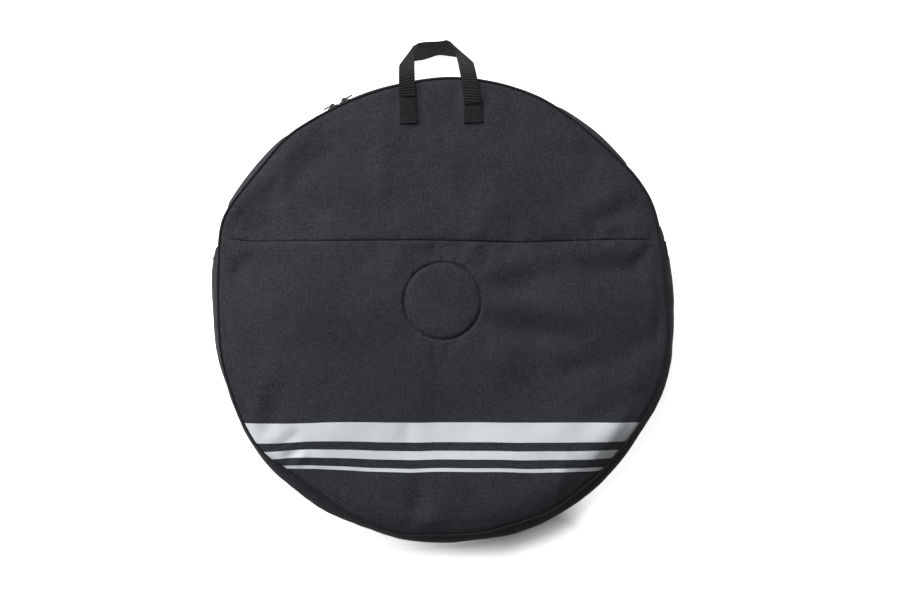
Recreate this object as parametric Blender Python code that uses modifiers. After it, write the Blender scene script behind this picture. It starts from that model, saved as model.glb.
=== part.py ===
"""A padded round bag for one bicycle wheel, closed by a zip with two sliders.

The bag lies empty on its back panel, as it does on a table. Lengths are in
metres and angles in radians. +Z points out of the front panel, +Y towards the
handle. The origin is the centre of the back panel's outer face.

Above a straight seam the front panel is a flap. The zip runs round the flap's
rim, so the flap folds back about that seam once both sliders are at the ends.
"""

import math

import bmesh
import bpy
from mathutils import Matrix, Vector

# General
FIT_GAP = 0.0003  # between two pieces that touch
MERGE_DISTANCE = 0.00001
CUT_OVERRUN = 0.010  # how far a cutter runs past what it cuts
FLATS = 60  # straight sides that stand in for each full circle
FLAT_ANGLE = 2 * math.pi / FLATS

# Overall size
PANEL_RADIUS = 0.3700
BAG_DEPTH = 0.0500  # from the back panel's face to the front panel's

# Layers of a padded panel, from its outer face inwards
SHELL_THICKNESS = 0.0009
FOAM_THICKNESS = 0.0050
LINING_THICKNESS = 0.0007
RIM_FOAM_THICKNESS = 0.0025  # the seam squeezes the foam at the rim
ROLL_WIDTH = 0.0250  # the rim rolls in towards the seam over this width
ROLL_DROP = 0.0030
ROLL_SHARES = (1 / 3, 2 / 3)

# Fold seam between the front panel and its flap
FOLD_HEIGHT = 0.1100  # from the panel's centre towards the handle
FOLD_GAP = 0.0006
FOLD_AXIS_LIFT = 0.0006  # the flap turns about a line just above the front face
FOLD_TAPE_WIDTH = 0.0240
FOLD_TAPE_THICKNESS = 0.0006

# Hub patches: a stiff round plate behind a ring of stitches
HUB_PATCH_RADIUS = 0.0625
HUB_PATCH_RISE = 0.0120  # the patches sit above the panel's centre
HUB_PLATE_THICKNESS = 0.0015
HUB_PLATE_MARGIN = 0.0020  # from the plate's edge to the stitches
STITCH_GROOVE_WIDTH = 0.0018
STITCH_GROOVE_DEPTH = 0.0004
PATCH_FLATS = 40

# Piping along the rim of each panel
PIPING_RADIUS = 0.00225
PIPING_SIDES = 6

# Side wall: a gusset round the lower part, two strips and the zip above
WALL_THICKNESS = 0.0012
WALL_SEAM_INSET = 0.0005  # the wall's outer face lies this far outside the piping's centre
UPPER_BOW = 0.0015  # how far the wall bows out between its seams, beside the zip
LOWER_BOW = 0.0110
BOW_RUN = 0.0450  # length along the rim over which the bow grows below the fold
BOW_STEP = 0.0002  # a flat is split in two where the bow grows by more than this
WALL_ROWS = 6
WALL_LINING_ROWS = 4
STRIP_WIDTH = 0.0095

# Zip
ZIP_SLOT = 0.0014  # the sliders' posts run in this slot between the two rows
TOOTH_REACH = 0.0022
TOOTH_BASE = 0.0016
TOOTH_THICKNESS = 0.0030
TEETH_PER_FLAT = 7
TAPE_THICKNESS = 0.0008
TAPE_LAP = 0.0060  # how far the tape reaches under its strip
STOP_LENGTH = 0.0040
STOP_CLEARANCE = 0.0004
END_TAB_LENGTH = 0.0320  # as far as the nearest corner between two flats
END_TAB_ROWS = 4  # it covers this many of the wall's rows
END_TAB_THICKNESS = 0.0012

# Zip sliders: two plates joined by a post, with a bridge that holds the pull tab
SLIDER_LENGTH = 0.0190
SLIDER_NOSE_WIDTH = 0.0130
PLATE_LENGTH_SHARES = (-0.5, -0.46, -0.1, 0.1, 0.36, 0.46, 0.5, 0.47)  # from tail to nose
PLATE_WIDTH_SHARES = (0.26, 0.34, 0.37, 0.44, 0.5, 0.46, 0.3, 0)  # from the middle line
PLATE_THICKNESS = 0.0014
OUTER_CLEARANCE = 0.0008  # lets the flap's row of teeth lift out past the outer plate
INNER_CLEARANCE = 0.0009
POST_LENGTH = 0.0050
POST_CLEARANCE = 0.0003
PLATE_ROUNDING = 0.0004
BRIDGE_LENGTH = 0.0104
BRIDGE_WIDTH = 0.0026
BRIDGE_THICKNESS = 0.0016
BRIDGE_ROOM = 0.0039  # clear height under the bridge
BRIDGE_SEGMENTS = 8
BRIDGE_SINK = 0.0003  # the bridge's feet run this far into the plate
SLIDER_NOSE_GAP = 0.0018  # between the two sliders' noses when the bag is shut
SLIDER_MEETING_ANGLE = math.radians(117)  # where they meet, from +X towards +Y

# Pull tabs
PULL_LENGTH = 0.0160
PULL_WIDTH = 0.0080
PULL_THICKNESS = 0.0016
PULL_PIN = 0.0014
PULL_ARM_CLEARANCE = 0.0004
PULL_WINDOW_LENGTH = 0.0052
PULL_EYE_RADIUS = 0.0016
PULL_AXIS_HEIGHT = 0.0022  # above the slider's outer plate
PULL_REST_LIFT = math.radians(4)
PULL_END_SEGMENTS = 8

# Handle: one length of webbing, folded at both corners of the loop
WEBBING_WIDTH = 0.0265
WEBBING_THICKNESS = 0.0018
HANDLE_SPACING = 0.1050  # between the middles of the two sewn ends
HANDLE_CENTRE = -0.0045
HANDLE_SEAM_INSET = 0.0270  # the webbing is sewn down from here inwards
HANDLE_OVERHANG = 0.0770  # how far the loop reaches past the panel's rim
HANDLE_LEANS = (0.0, -0.0200)  # how far the top of each leg lies to one side
HANDLE_JOINT = 0.0012  # how deep the cross bar lies in the legs at the folds
WEBBING_ROWS = 4  # across its width
LEG_SEGMENTS = 12
BAR_SEGMENTS = 4
FLOOR_GAP = 0.0005
TAB_LENGTH = 0.0400
TAB_MARGIN = 0.0010  # the sewn end is wider than the webbing by this on each side
TAB_LAYER_COUNT = 2
TAB_ROUNDING = 0.0008

# Sizes that follow from those above
FLAT_RADIUS = PANEL_RADIUS - ROLL_WIDTH
STACK_THICKNESS = SHELL_THICKNESS + FOAM_THICKNESS + LINING_THICKNESS + 2 * FIT_GAP
PIPING_RING_RADIUS = PANEL_RADIUS + FIT_GAP + PIPING_RADIUS
PIPING_DEPTH = ROLL_DROP + SHELL_THICKNESS / 2
WALL_DEPTH = PIPING_DEPTH + PIPING_RADIUS + FIT_GAP
WALL_RADIUS = PIPING_RING_RADIUS + WALL_SEAM_INSET
MIDDLE = BAG_DEPTH / 2
WALL_HALF_HEIGHT = MIDDLE - WALL_DEPTH
RIM_STACK = ROLL_DROP + SHELL_THICKNESS + RIM_FOAM_THICKNESS + LINING_THICKNESS + 2 * FIT_GAP
TAPE_INSET = WALL_THICKNESS + FIT_GAP
WALL_LINING_INSET = TAPE_INSET + TAPE_THICKNESS + FIT_GAP
TEETH_INSET = TAPE_INSET + TAPE_THICKNESS / 2 - TOOTH_THICKNESS / 2
CHAIN_RADIUS = WALL_RADIUS + UPPER_BOW - TEETH_INSET - TOOTH_THICKNESS / 2
SLIDER_HALF_STEP = (SLIDER_LENGTH + SLIDER_NOSE_GAP) / 2 / CHAIN_RADIUS
TAB_THICKNESS = TAB_LAYER_COUNT * WEBBING_THICKNESS
TAB_WIDTH = WEBBING_WIDTH + 2 * TAB_MARGIN
HANDLE_SEAM_HEIGHT = PANEL_RADIUS - HANDLE_SEAM_INSET
HANDLE_REACH = PANEL_RADIUS + HANDLE_OVERHANG
FACE_CLEARANCE_HEIGHT = BAG_DEPTH + FIT_GAP
HUB_PLATE_RADIUS = HUB_PATCH_RADIUS - STITCH_GROOVE_WIDTH / 2 - HUB_PLATE_MARGIN


def clear_scene():
    for leftover in list(bpy.data.objects):
        bpy.data.objects.remove(leftover)


clear_scene()
PARTS = bpy.data.collections.new("bike_wheel_bag")
CUTTERS = bpy.data.collections.new("cutters")
bpy.context.scene.collection.children.link(PARTS)
bpy.context.scene.collection.children.link(CUTTERS)


def finish(name, colour, roughness, metallic=0.0):
    """A material with one plain surface."""
    material = bpy.data.materials.new(name)
    material.use_nodes = True
    shader = material.node_tree.nodes["Principled BSDF"]
    shader.inputs["Base Color"].default_value = (*colour, 1.0)
    shader.inputs["Roughness"].default_value = roughness
    shader.inputs["Metallic"].default_value = metallic
    return material


BAG_FABRIC = finish("bag_fabric", (0.040, 0.043, 0.050), 0.85)
LINING_FABRIC = finish("lining_fabric", (0.060, 0.062, 0.066), 0.80)
PADDING = finish("padding", (0.18, 0.18, 0.19), 0.95)
PATCH_PLASTIC = finish("patch_plastic", (0.020, 0.020, 0.022), 0.50)
WEBBING = finish("webbing", (0.026, 0.027, 0.031), 0.75)
ZIP_TAPE = finish("zip_tape", (0.022, 0.023, 0.026), 0.85)
ZIP_PLASTIC = finish("zip_plastic", (0.018, 0.018, 0.020), 0.40)
SLIDER_METAL = finish("slider_metal", (0.030, 0.030, 0.032), 0.35, 0.8)


def add_object(name, data, material, collection=PARTS):
    obj = bpy.data.objects.new(name, data)
    collection.objects.link(obj)
    if not data.materials:
        data.materials.append(material)
    return obj


def mesh_of(name, bm):
    mesh = bpy.data.meshes.new(name)
    bm.to_mesh(mesh)
    bm.free()
    return mesh


def smooth(mesh):
    """Shades round faces smooth and leaves real edges sharp."""
    mesh.shade_smooth()
    mesh.set_sharp_from_angle(angle=math.radians(30))


def box(low, high):
    """A bmesh box between two corners."""
    low, high = Vector(low), Vector(high)
    bm = bmesh.new()
    bmesh.ops.create_cube(bm, size=1)
    bmesh.ops.scale(bm, vec=high - low, verts=bm.verts)
    bmesh.ops.translate(bm, vec=(low + high) / 2, verts=bm.verts)
    return bm


def bevelled(obj, width, segments=1):
    bevel = obj.modifiers.new("rounding", "BEVEL")
    bevel.width = width
    bevel.segments = segments
    bevel.limit_method = "ANGLE"
    return obj


def cutter(name, data):
    """A helper that only cuts, and isn't part of the bag."""
    obj = bpy.data.objects.new(name, data)
    CUTTERS.objects.link(obj)
    obj.hide_render = True
    obj.display_type = "WIRE"
    return obj


def combine(obj, tool, operation="DIFFERENCE"):
    boolean = obj.modifiers.new(tool.name, "BOOLEAN")
    boolean.object = tool
    boolean.operation = operation
    boolean.solver = "EXACT"
    return obj


def evaluated_mesh(obj):
    """The mesh that an object's modifiers or curve settings make, in world space, welded."""
    bpy.context.view_layer.update()
    graph = bpy.context.evaluated_depsgraph_get()
    mesh = bpy.data.meshes.new_from_object(obj.evaluated_get(graph))
    mesh.transform(obj.matrix_world)
    bm = bmesh.new()
    bm.from_mesh(mesh)
    bmesh.ops.remove_doubles(bm, verts=bm.verts, dist=MERGE_DISTANCE)
    bm.to_mesh(mesh)
    bm.free()
    return mesh


def united_mesh(name, meshes):
    """One mesh joined from several that overlap."""
    helpers = [cutter(f"{name}_{n}", mesh) for n, mesh in enumerate(meshes)]
    for other in helpers[1:]:
        combine(helpers[0], other, "UNION")
    mesh = evaluated_mesh(helpers[0])
    mesh.name = name
    for helper in helpers:
        bpy.data.objects.remove(helper)
    return mesh


def turned(name, outline, material=None, flats=FLATS):
    """A disc or ring: (radius, height) points down the outer side, turned once round Z."""
    mesh = bpy.data.meshes.new(name)
    points = [(radius, 0, height) for radius, height in outline]
    mesh.from_pydata(points, [(n, n + 1) for n in range(len(points) - 1)], [])
    obj = add_object(name, mesh, material) if material else cutter(name, mesh)
    screw = obj.modifiers.new("turn", "SCREW")
    screw.steps = screw.render_steps = flats
    screw.use_merge_vertices = True
    screw.merge_threshold = MERGE_DISTANCE
    return obj


def placed_grid(columns, rows, place):
    """A bmesh grid whose points are put where place(column value, row value) says."""
    bm = bmesh.new()
    bmesh.ops.create_grid(bm, x_segments=len(columns) - 1, y_segments=len(rows) - 1, size=1)
    for vert in bm.verts:
        column = round((vert.co.x + 1) / 2 * (len(columns) - 1))
        row = round((vert.co.y + 1) / 2 * (len(rows) - 1))
        vert.co = place(columns[column], rows[row])
    return bm


def thickened(name, bm, thickness, material):
    """A sheet made solid, from its outer face inwards."""
    obj = add_object(name, mesh_of(name, bm), material)
    smooth(obj.data)
    solidify = obj.modifiers.new("thickness", "SOLIDIFY")
    solidify.thickness = thickness
    solidify.offset = -1
    solidify.use_even_offset = True
    return obj


def spaced(first, last, count):
    """Evenly spaced values, both ends included."""
    return [first + (last - first) * n / count for n in range(count + 1)]


def eased(share):
    """0 to 1 with a level start and end."""
    share = min(max(share, 0), 1)
    return share * share * (3 - 2 * share)


def on_flats(radius, angle):
    """Distance from the centre to the straight sides that stand in for a circle."""
    return radius * math.cos(FLAT_ANGLE / 2) / math.cos(angle % FLAT_ANGLE - FLAT_ANGLE / 2)


def round_angles(start, end):
    """The two ends, and each corner between two flats on the way."""
    first = math.floor(start / FLAT_ANGLE + 1e-6) + 1
    last = math.ceil(end / FLAT_ANGLE - 1e-6)
    return [start, *(n * FLAT_ANGLE for n in range(first, last)), end]


# Where the side wall changes from gusset to zip, beside each end of the fold seam
ZIP_END_ANGLE = math.asin(
    (FOLD_HEIGHT + FOLD_GAP) / ((WALL_RADIUS - TAPE_INSET - TAPE_THICKNESS) * math.cos(FLAT_ANGLE / 2))
)
GUSSET_END_ANGLE = math.asin((FOLD_HEIGHT - FOLD_GAP) / (WALL_RADIUS + UPPER_BOW))
FIRST_TOOTH_ANGLE = FLAT_ANGLE * math.ceil((ZIP_END_ANGLE + STOP_LENGTH / CHAIN_RADIUS) / FLAT_ANGLE)


def wall_bow(angle):
    """How far the wall bows out at mid height: little beside the zip, more below the fold."""
    below_fold = GUSSET_END_ANGLE - math.asin(math.sin(angle))
    grown = eased(below_fold * WALL_RADIUS / BOW_RUN)
    return UPPER_BOW + (LOWER_BOW - UPPER_BOW) * grown


def wall_point(angle, height, inset=0.0):
    """A point on the side wall's outer face, or that far inside it."""
    off_middle = (height - MIDDLE) / WALL_HALF_HEIGHT
    bow = wall_bow(angle) * (1 - off_middle * off_middle)
    radius = on_flats(WALL_RADIUS + bow - inset, angle)
    return Vector((radius * math.cos(angle), radius * math.sin(angle), height))


def bowed_angles(start, end):
    """As round_angles, with each flat split in two where the wall's bow changes along it."""
    corners = round_angles(start, end)
    angles = []
    for here, there in zip(corners, corners[1:]):
        angles.append(here)
        if abs(wall_bow(here) - wall_bow(there)) > BOW_STEP:
            angles.append((here + there) / 2)
    return [*angles, corners[-1]]


def wall_heights():
    """The heights of the wall's rows of points, from seam to seam."""
    return spaced(MIDDLE - WALL_HALF_HEIGHT, MIDDLE + WALL_HALF_HEIGHT, WALL_ROWS)


def wall_sheet(name, angles, heights, inset, thickness, material):
    """A piece of the side wall."""
    bm = placed_grid(angles, heights, lambda angle, height: wall_point(angle, height, inset))
    return thickened(name, bm, thickness, material)


def make_fold_cutters():
    """Two boxes that take away what lies on either side of the fold seam."""
    reach = WALL_RADIUS + LOWER_BOW + CUT_OVERRUN
    low, high = -CUT_OVERRUN, BAG_DEPTH + CUT_OVERRUN
    above = box((-reach, FOLD_HEIGHT - FOLD_GAP / 2, low), (reach, reach, high))
    below = box((-reach, -reach, low), (reach, FOLD_HEIGHT + FOLD_GAP / 2, high))
    return (
        cutter("flap_side", mesh_of("flap_side", above)),
        cutter("panel_side", mesh_of("panel_side", below)),
    )


def layer_outlines():
    """Shell, foam and lining as (radius, depth under the outer face) points, outer face first."""
    foam_top = SHELL_THICKNESS + FIT_GAP
    lining_top = foam_top + FOAM_THICKNESS + FIT_GAP
    rim_foam_top = foam_top + ROLL_DROP
    rim_lining_top = rim_foam_top + RIM_FOAM_THICKNESS + FIT_GAP
    roll = [(FLAT_RADIUS + ROLL_WIDTH * s, ROLL_DROP * s * s) for s in ROLL_SHARES]
    return {
        "shell": [
            (0, 0),
            (FLAT_RADIUS, 0),
            *roll,
            (PANEL_RADIUS, ROLL_DROP),
            (PANEL_RADIUS, ROLL_DROP + SHELL_THICKNESS),
            (FLAT_RADIUS, SHELL_THICKNESS),
            (0, SHELL_THICKNESS),
        ],
        "foam": [
            (0, foam_top),
            (FLAT_RADIUS, foam_top),
            (PANEL_RADIUS, rim_foam_top),
            (PANEL_RADIUS, rim_foam_top + RIM_FOAM_THICKNESS),
            (FLAT_RADIUS, foam_top + FOAM_THICKNESS),
            (0, foam_top + FOAM_THICKNESS),
        ],
        "lining": [
            (0, lining_top),
            (FLAT_RADIUS, lining_top),
            (PANEL_RADIUS, rim_lining_top),
            (PANEL_RADIUS, rim_lining_top + LINING_THICKNESS),
            (FLAT_RADIUS, lining_top + LINING_THICKNESS),
            (0, lining_top + LINING_THICKNESS),
        ],
    }


LAYER_MATERIALS = {"shell": BAG_FABRIC, "foam": PADDING, "lining": LINING_FABRIC}


def front_height(depth):
    return BAG_DEPTH - depth


def back_height(depth):
    return depth


def make_layer(name, layer, height_of):
    outline = [(radius, height_of(depth)) for radius, depth in layer_outlines()[layer]]
    if height_of is back_height:
        outline.reverse()
    return turned(name, outline, LAYER_MATERIALS[layer])


def make_hub_patch(side, shell, foam, height_of):
    """A stitched ring in the shell, and the stiff plate that it holds in the foam."""
    centre = (0, HUB_PATCH_RISE, 0)
    stitches = turned(
        f"{side}_stitch_groove",
        sorted_outline(
            HUB_PATCH_RADIUS - STITCH_GROOVE_WIDTH / 2,
            HUB_PATCH_RADIUS + STITCH_GROOVE_WIDTH / 2,
            height_of(-CUT_OVERRUN),
            height_of(STITCH_GROOVE_DEPTH),
        ),
        flats=PATCH_FLATS,
    )
    plate_top = SHELL_THICKNESS + FIT_GAP
    recess_radius = HUB_PLATE_RADIUS + FIT_GAP
    recess = turned(
        f"{side}_plate_recess",
        sorted_outline(
            0, recess_radius, height_of(-CUT_OVERRUN), height_of(plate_top + HUB_PLATE_THICKNESS + FIT_GAP)
        ),
        flats=PATCH_FLATS,
    )
    plate = turned(
        f"{side}_hub_plate",
        sorted_outline(0, HUB_PLATE_RADIUS, height_of(plate_top), height_of(plate_top + HUB_PLATE_THICKNESS)),
        PATCH_PLASTIC,
        flats=PATCH_FLATS,
    )
    for obj in (stitches, recess, plate):
        obj.location = centre
    combine(shell, stitches)
    combine(foam, recess)


def sorted_outline(inner, outer, one_height, other_height):
    """The outline of a plain disc or ring, down its outer side."""
    top, bottom = max(one_height, other_height), min(one_height, other_height)
    outline = [(inner, top), (outer, top), (outer, bottom), (inner, bottom)]
    return outline if inner == 0 else [*outline, (inner, top)]


def make_panels(flap_side, panel_side):
    """Back panel, front panel and flap, each a shell, a foam sheet and a lining."""
    flap = []
    fronts = {}
    backs = {}
    for layer in LAYER_MATERIALS:
        backs[layer] = make_layer(f"back_panel_{layer}", layer, back_height)
        fronts[layer] = combine(make_layer(f"front_panel_{layer}", layer, front_height), flap_side)
        flap.append(combine(make_layer(f"flap_{layer}", layer, front_height), panel_side))
    make_hub_patch("back", backs["shell"], backs["foam"], back_height)
    make_hub_patch("front", fronts["shell"], fronts["foam"], front_height)
    return flap


def make_fold_tape():
    """The woven tape inside that the flap's seam is sewn to."""
    half_length = math.sqrt(FLAT_RADIUS**2 - (FOLD_HEIGHT + FOLD_TAPE_WIDTH / 2) ** 2)
    top = BAG_DEPTH - STACK_THICKNESS - FIT_GAP
    tape = box(
        (-half_length, FOLD_HEIGHT - FOLD_TAPE_WIDTH / 2, top - FOLD_TAPE_THICKNESS),
        (half_length, FOLD_HEIGHT + FOLD_TAPE_WIDTH / 2, top),
    )
    add_object("fold_tape", mesh_of("fold_tape", tape), ZIP_TAPE)


def make_piping(name, height, taken_away=None):
    """A rolled cord along the rim of a panel."""
    section = [
        (
            PIPING_RING_RADIUS + PIPING_RADIUS * math.sin(2 * math.pi * n / PIPING_SIDES),
            height + PIPING_RADIUS * math.cos(2 * math.pi * n / PIPING_SIDES),
        )
        for n in range(PIPING_SIDES)
    ]
    piping = turned(name, [*section, section[0]], BAG_FABRIC)
    return combine(piping, taken_away) if taken_away else piping


def make_side_wall():
    """The lower gusset, and the strips that carry the two zip tapes."""
    gusset_angles = bowed_angles(math.pi - GUSSET_END_ANGLE, 2 * math.pi + GUSSET_END_ANGLE)
    wall_sheet("gusset", gusset_angles, wall_heights(), 0, WALL_THICKNESS, BAG_FABRIC)
    make_wall_lining()
    zip_angles = round_angles(ZIP_END_ANGLE, math.pi - ZIP_END_ANGLE)
    tape_start = ZIP_SLOT / 2 + TOOTH_REACH + TOOTH_BASE + FIT_GAP
    tape_end = WALL_HALF_HEIGHT - STRIP_WIDTH + TAPE_LAP
    strip_start = WALL_HALF_HEIGHT - STRIP_WIDTH
    flap = []
    for side, sign in (("back", -1), ("front", 1)):
        strip_heights = sorted((MIDDLE + sign * strip_start, MIDDLE + sign * WALL_HALF_HEIGHT))
        tape_heights = sorted((MIDDLE + sign * tape_start, MIDDLE + sign * tape_end))
        pair = (
            wall_sheet(f"zip_strip_{side}", zip_angles, strip_heights, 0, WALL_THICKNESS, BAG_FABRIC),
            wall_sheet(f"zip_tape_{side}", zip_angles, tape_heights, TAPE_INSET, TAPE_THICKNESS, ZIP_TAPE),
        )
        flap.extend(pair if side == "front" else ())
    return flap


def make_wall_lining():
    """The gusset's lining, which also backs the zip's ends as far as the stops."""
    end = FIRST_TOOTH_ANGLE - (STOP_LENGTH + 2 * FIT_GAP) / CHAIN_RADIUS
    beside_gusset = bowed_angles(math.pi - GUSSET_END_ANGLE, 2 * math.pi + GUSSET_END_ANGLE)
    angles = [math.pi - end, *beside_gusset, 2 * math.pi + end]
    heights = spaced(RIM_STACK + FIT_GAP, BAG_DEPTH - RIM_STACK - FIT_GAP, WALL_LINING_ROWS)
    wall_sheet("gusset_lining", angles, heights, WALL_LINING_INSET, LINING_THICKNESS, LINING_FABRIC)


def make_teeth(side, sign):
    """One row of moulded teeth on its base, bent round the bag."""
    flats = round((math.pi - 2 * FIRST_TOOTH_ANGLE) / FLAT_ANGLE)
    columns = spaced(FIRST_TOOTH_ANGLE, math.pi - FIRST_TOOTH_ANGLE, 2 * TEETH_PER_FLAT * flats)
    tip = MIDDLE + sign * ZIP_SLOT / 2
    root = tip + sign * TOOTH_REACH
    rows = sorted((tip, root, root + sign * TOOTH_BASE))
    bm = placed_grid(
        columns, rows, lambda angle, height: wall_point(angle, height, TEETH_INSET - bow_loss(height))
    )
    tooth_row = [f for f in bm.faces if abs(f.calc_center_median().z - (tip + root) / 2) < TOOTH_REACH / 4]
    first_gap = 0 if sign > 0 else 1
    gaps = [f for f in tooth_row if column_of(f, columns) % 2 == first_gap]
    bmesh.ops.delete(bm, geom=gaps, context="FACES")
    bmesh.ops.dissolve_limit(bm, angle_limit=FLAT_ANGLE / 2, verts=bm.verts, edges=bm.edges)
    return thickened(f"zip_teeth_{side}", bm, TOOTH_THICKNESS, ZIP_PLASTIC)


def bow_loss(height):
    """How much the bowed wall falls away at this height beside its middle, so the teeth stand straight."""
    off_middle = (height - MIDDLE) / WALL_HALF_HEIGHT
    return UPPER_BOW * off_middle * off_middle


def column_of(face, columns):
    """Which column of the grid a face of the tooth row lies in."""
    centre = face.calc_center_median()
    step = columns[1] - columns[0]
    return int((math.atan2(centre.y, centre.x) - columns[0]) / step)


def make_stop(side, sign, hand, at_right):
    """A metal stop clamped on the tape's edge, at the end of its row of teeth."""
    half_length = STOP_LENGTH / 2
    angle = FIRST_TOOTH_ANGLE - (half_length + FIT_GAP) / CHAIN_RADIUS
    inner, outer = ZIP_SLOT / 2 + STOP_CLEARANCE, ZIP_SLOT / 2 + TOOTH_REACH + TOOTH_BASE
    low, high = sorted((sign * inner, sign * outer))
    half_depth = TOOTH_THICKNESS / 2 + STOP_CLEARANCE
    body = box((-half_length, -half_depth, low), (half_length, half_depth, high))
    stop = add_object(f"zip_stop_{side}_{hand}", mesh_of("zip_stop", body), SLIDER_METAL)
    bevelled(stop, STOP_CLEARANCE)
    set_on_chain(stop, angle if at_right else math.pi - angle)
    return stop


def set_on_chain(obj, angle):
    """Turns local Y outwards and puts the object on the zip's middle line."""
    radius = on_flats(CHAIN_RADIUS, angle)
    obj.location = (radius * math.cos(angle), radius * math.sin(angle), MIDDLE)
    obj.rotation_euler = (0, 0, angle - math.pi / 2)


def make_end_tab(name, at_right):
    """A fabric tab sewn on the gusset, where the zip ends."""
    outside = FIT_GAP + END_TAB_THICKNESS
    end = math.asin((FOLD_HEIGHT - FOLD_GAP) / (WALL_RADIUS + UPPER_BOW + outside))
    start = FLAT_ANGLE * round((end - END_TAB_LENGTH / WALL_RADIUS) / FLAT_ANGLE)
    angles = bowed_angles(start, end) if at_right else bowed_angles(math.pi - end, math.pi - start)
    first_row = (WALL_ROWS - END_TAB_ROWS) // 2
    heights = wall_heights()[first_row : first_row + END_TAB_ROWS + 1]
    wall_sheet(name, angles, heights, -outside, END_TAB_THICKNESS, BAG_FABRIC)


def make_zip_ends():
    """Stops on both rows and a fabric tab, at each end of the zip."""
    flap = []
    for hand, at_right in (("right", True), ("left", False)):
        make_end_tab(f"zip_end_tab_{hand}", at_right)
        make_stop("back", -1, hand, at_right)
        flap.append(make_stop("front", 1, hand, at_right))
    return flap


def slider_plate(name, inner_face):
    """A slider plate: shoulders at the nose with a dip between them, and a narrow tail."""
    one_side = [
        (SLIDER_LENGTH * along, SLIDER_NOSE_WIDTH * out)
        for along, out in zip(PLATE_LENGTH_SHARES, PLATE_WIDTH_SHARES)
    ]
    other_side = [(x, -y) for x, y in reversed(one_side[:-1])]
    mesh = flat_curve(name, [[*one_side, *other_side]], PLATE_THICKNESS / 2, PLATE_ROUNDING)
    mesh.transform(Matrix.Rotation(math.pi / 2, 4, "X"))
    mesh.transform(Matrix.Translation((0, inner_face + PLATE_THICKNESS / 2, 0)))
    return mesh


def flat_curve(name, outlines, half_thickness, rounding=0):
    """A filled flat outline, or one with holes, made solid about its plane."""
    curve = bpy.data.curves.new(name, "CURVE")
    curve.dimensions = "2D"
    curve.fill_mode = "BOTH"
    curve.extrude = half_thickness - rounding
    curve.bevel_depth = rounding
    curve.bevel_resolution = 0
    curve.offset = -rounding
    for outline in outlines:
        spline = curve.splines.new("POLY")
        spline.points.add(len(outline) - 1)
        for point, (x, y) in zip(spline.points, outline):
            point.co = (x, y, 0, 1)
        spline.use_cyclic_u = True
    helper = cutter(name, curve)
    mesh = evaluated_mesh(helper)
    bpy.data.objects.remove(helper)
    return mesh


def half_ellipse(half_length, height, base, segments):
    """Points of an arch from its right foot over the top to its left foot."""
    angles = spaced(0, math.pi, segments)
    return [(half_length * math.cos(a), base + height * math.sin(a)) for a in angles]


def slider_mesh():
    """Zip slider: +X is its nose, +Y points out of the bag, and Z runs across the zip."""
    outer_low = TOOTH_THICKNESS / 2 + OUTER_CLEARANCE
    outer_high = outer_low + PLATE_THICKNESS
    inner_high = -TOOTH_THICKNESS / 2 - INNER_CLEARANCE
    half_post = ZIP_SLOT / 2 - POST_CLEARANCE
    nose = SLIDER_LENGTH * PLATE_LENGTH_SHARES[-1] - PLATE_ROUNDING
    post = box(
        (nose - POST_LENGTH, inner_high - PLATE_THICKNESS / 2, -half_post),
        (nose, outer_low + PLATE_THICKNESS / 2, half_post),
    )
    foot = outer_high - BRIDGE_SINK
    half_bridge = BRIDGE_LENGTH / 2
    arch = [
        *half_ellipse(half_bridge, BRIDGE_ROOM + BRIDGE_THICKNESS + BRIDGE_SINK, foot, BRIDGE_SEGMENTS),
        *reversed(
            half_ellipse(half_bridge - BRIDGE_THICKNESS, BRIDGE_ROOM + BRIDGE_SINK, foot, BRIDGE_SEGMENTS)
        ),
    ]
    plates = [
        slider_plate("outer_plate", outer_low),
        slider_plate("inner_plate", inner_high - PLATE_THICKNESS),
        mesh_of("post", post),
        flat_curve("bridge", [arch], BRIDGE_WIDTH / 2),
    ]
    return united_mesh("zip_slider", plates)


def pull_tab_mesh():
    """Pull tab: its pin lies on the origin along Z, and the tab points along -X."""
    half_width = PULL_WIDTH / 2
    tip_centre = -(PULL_LENGTH - half_width)
    turn = spaced(math.pi / 2, 3 * math.pi / 2, PULL_END_SEGMENTS)
    tip = [(tip_centre + half_width * math.cos(a), half_width * math.sin(a)) for a in turn]
    outline = [(PULL_PIN / 2, -half_width), (PULL_PIN / 2, half_width), *tip]
    window_half_width = BRIDGE_WIDTH / 2 + PULL_ARM_CLEARANCE
    window_near, window_far = -PULL_PIN / 2, -PULL_PIN / 2 - PULL_WINDOW_LENGTH
    window = [
        (window_near, -window_half_width),
        (window_near, window_half_width),
        (window_far, window_half_width),
        (window_far, -window_half_width),
    ]
    around = spaced(0, 2 * math.pi, PULL_END_SEGMENTS)[:-1]
    eye = [(tip_centre + PULL_EYE_RADIUS * math.cos(a), PULL_EYE_RADIUS * math.sin(a)) for a in around]
    mesh = flat_curve("pull_tab", [outline, window, eye], PULL_THICKNESS / 2)
    mesh.transform(Matrix.Rotation(math.pi / 2, 4, "X"))
    return mesh


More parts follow.
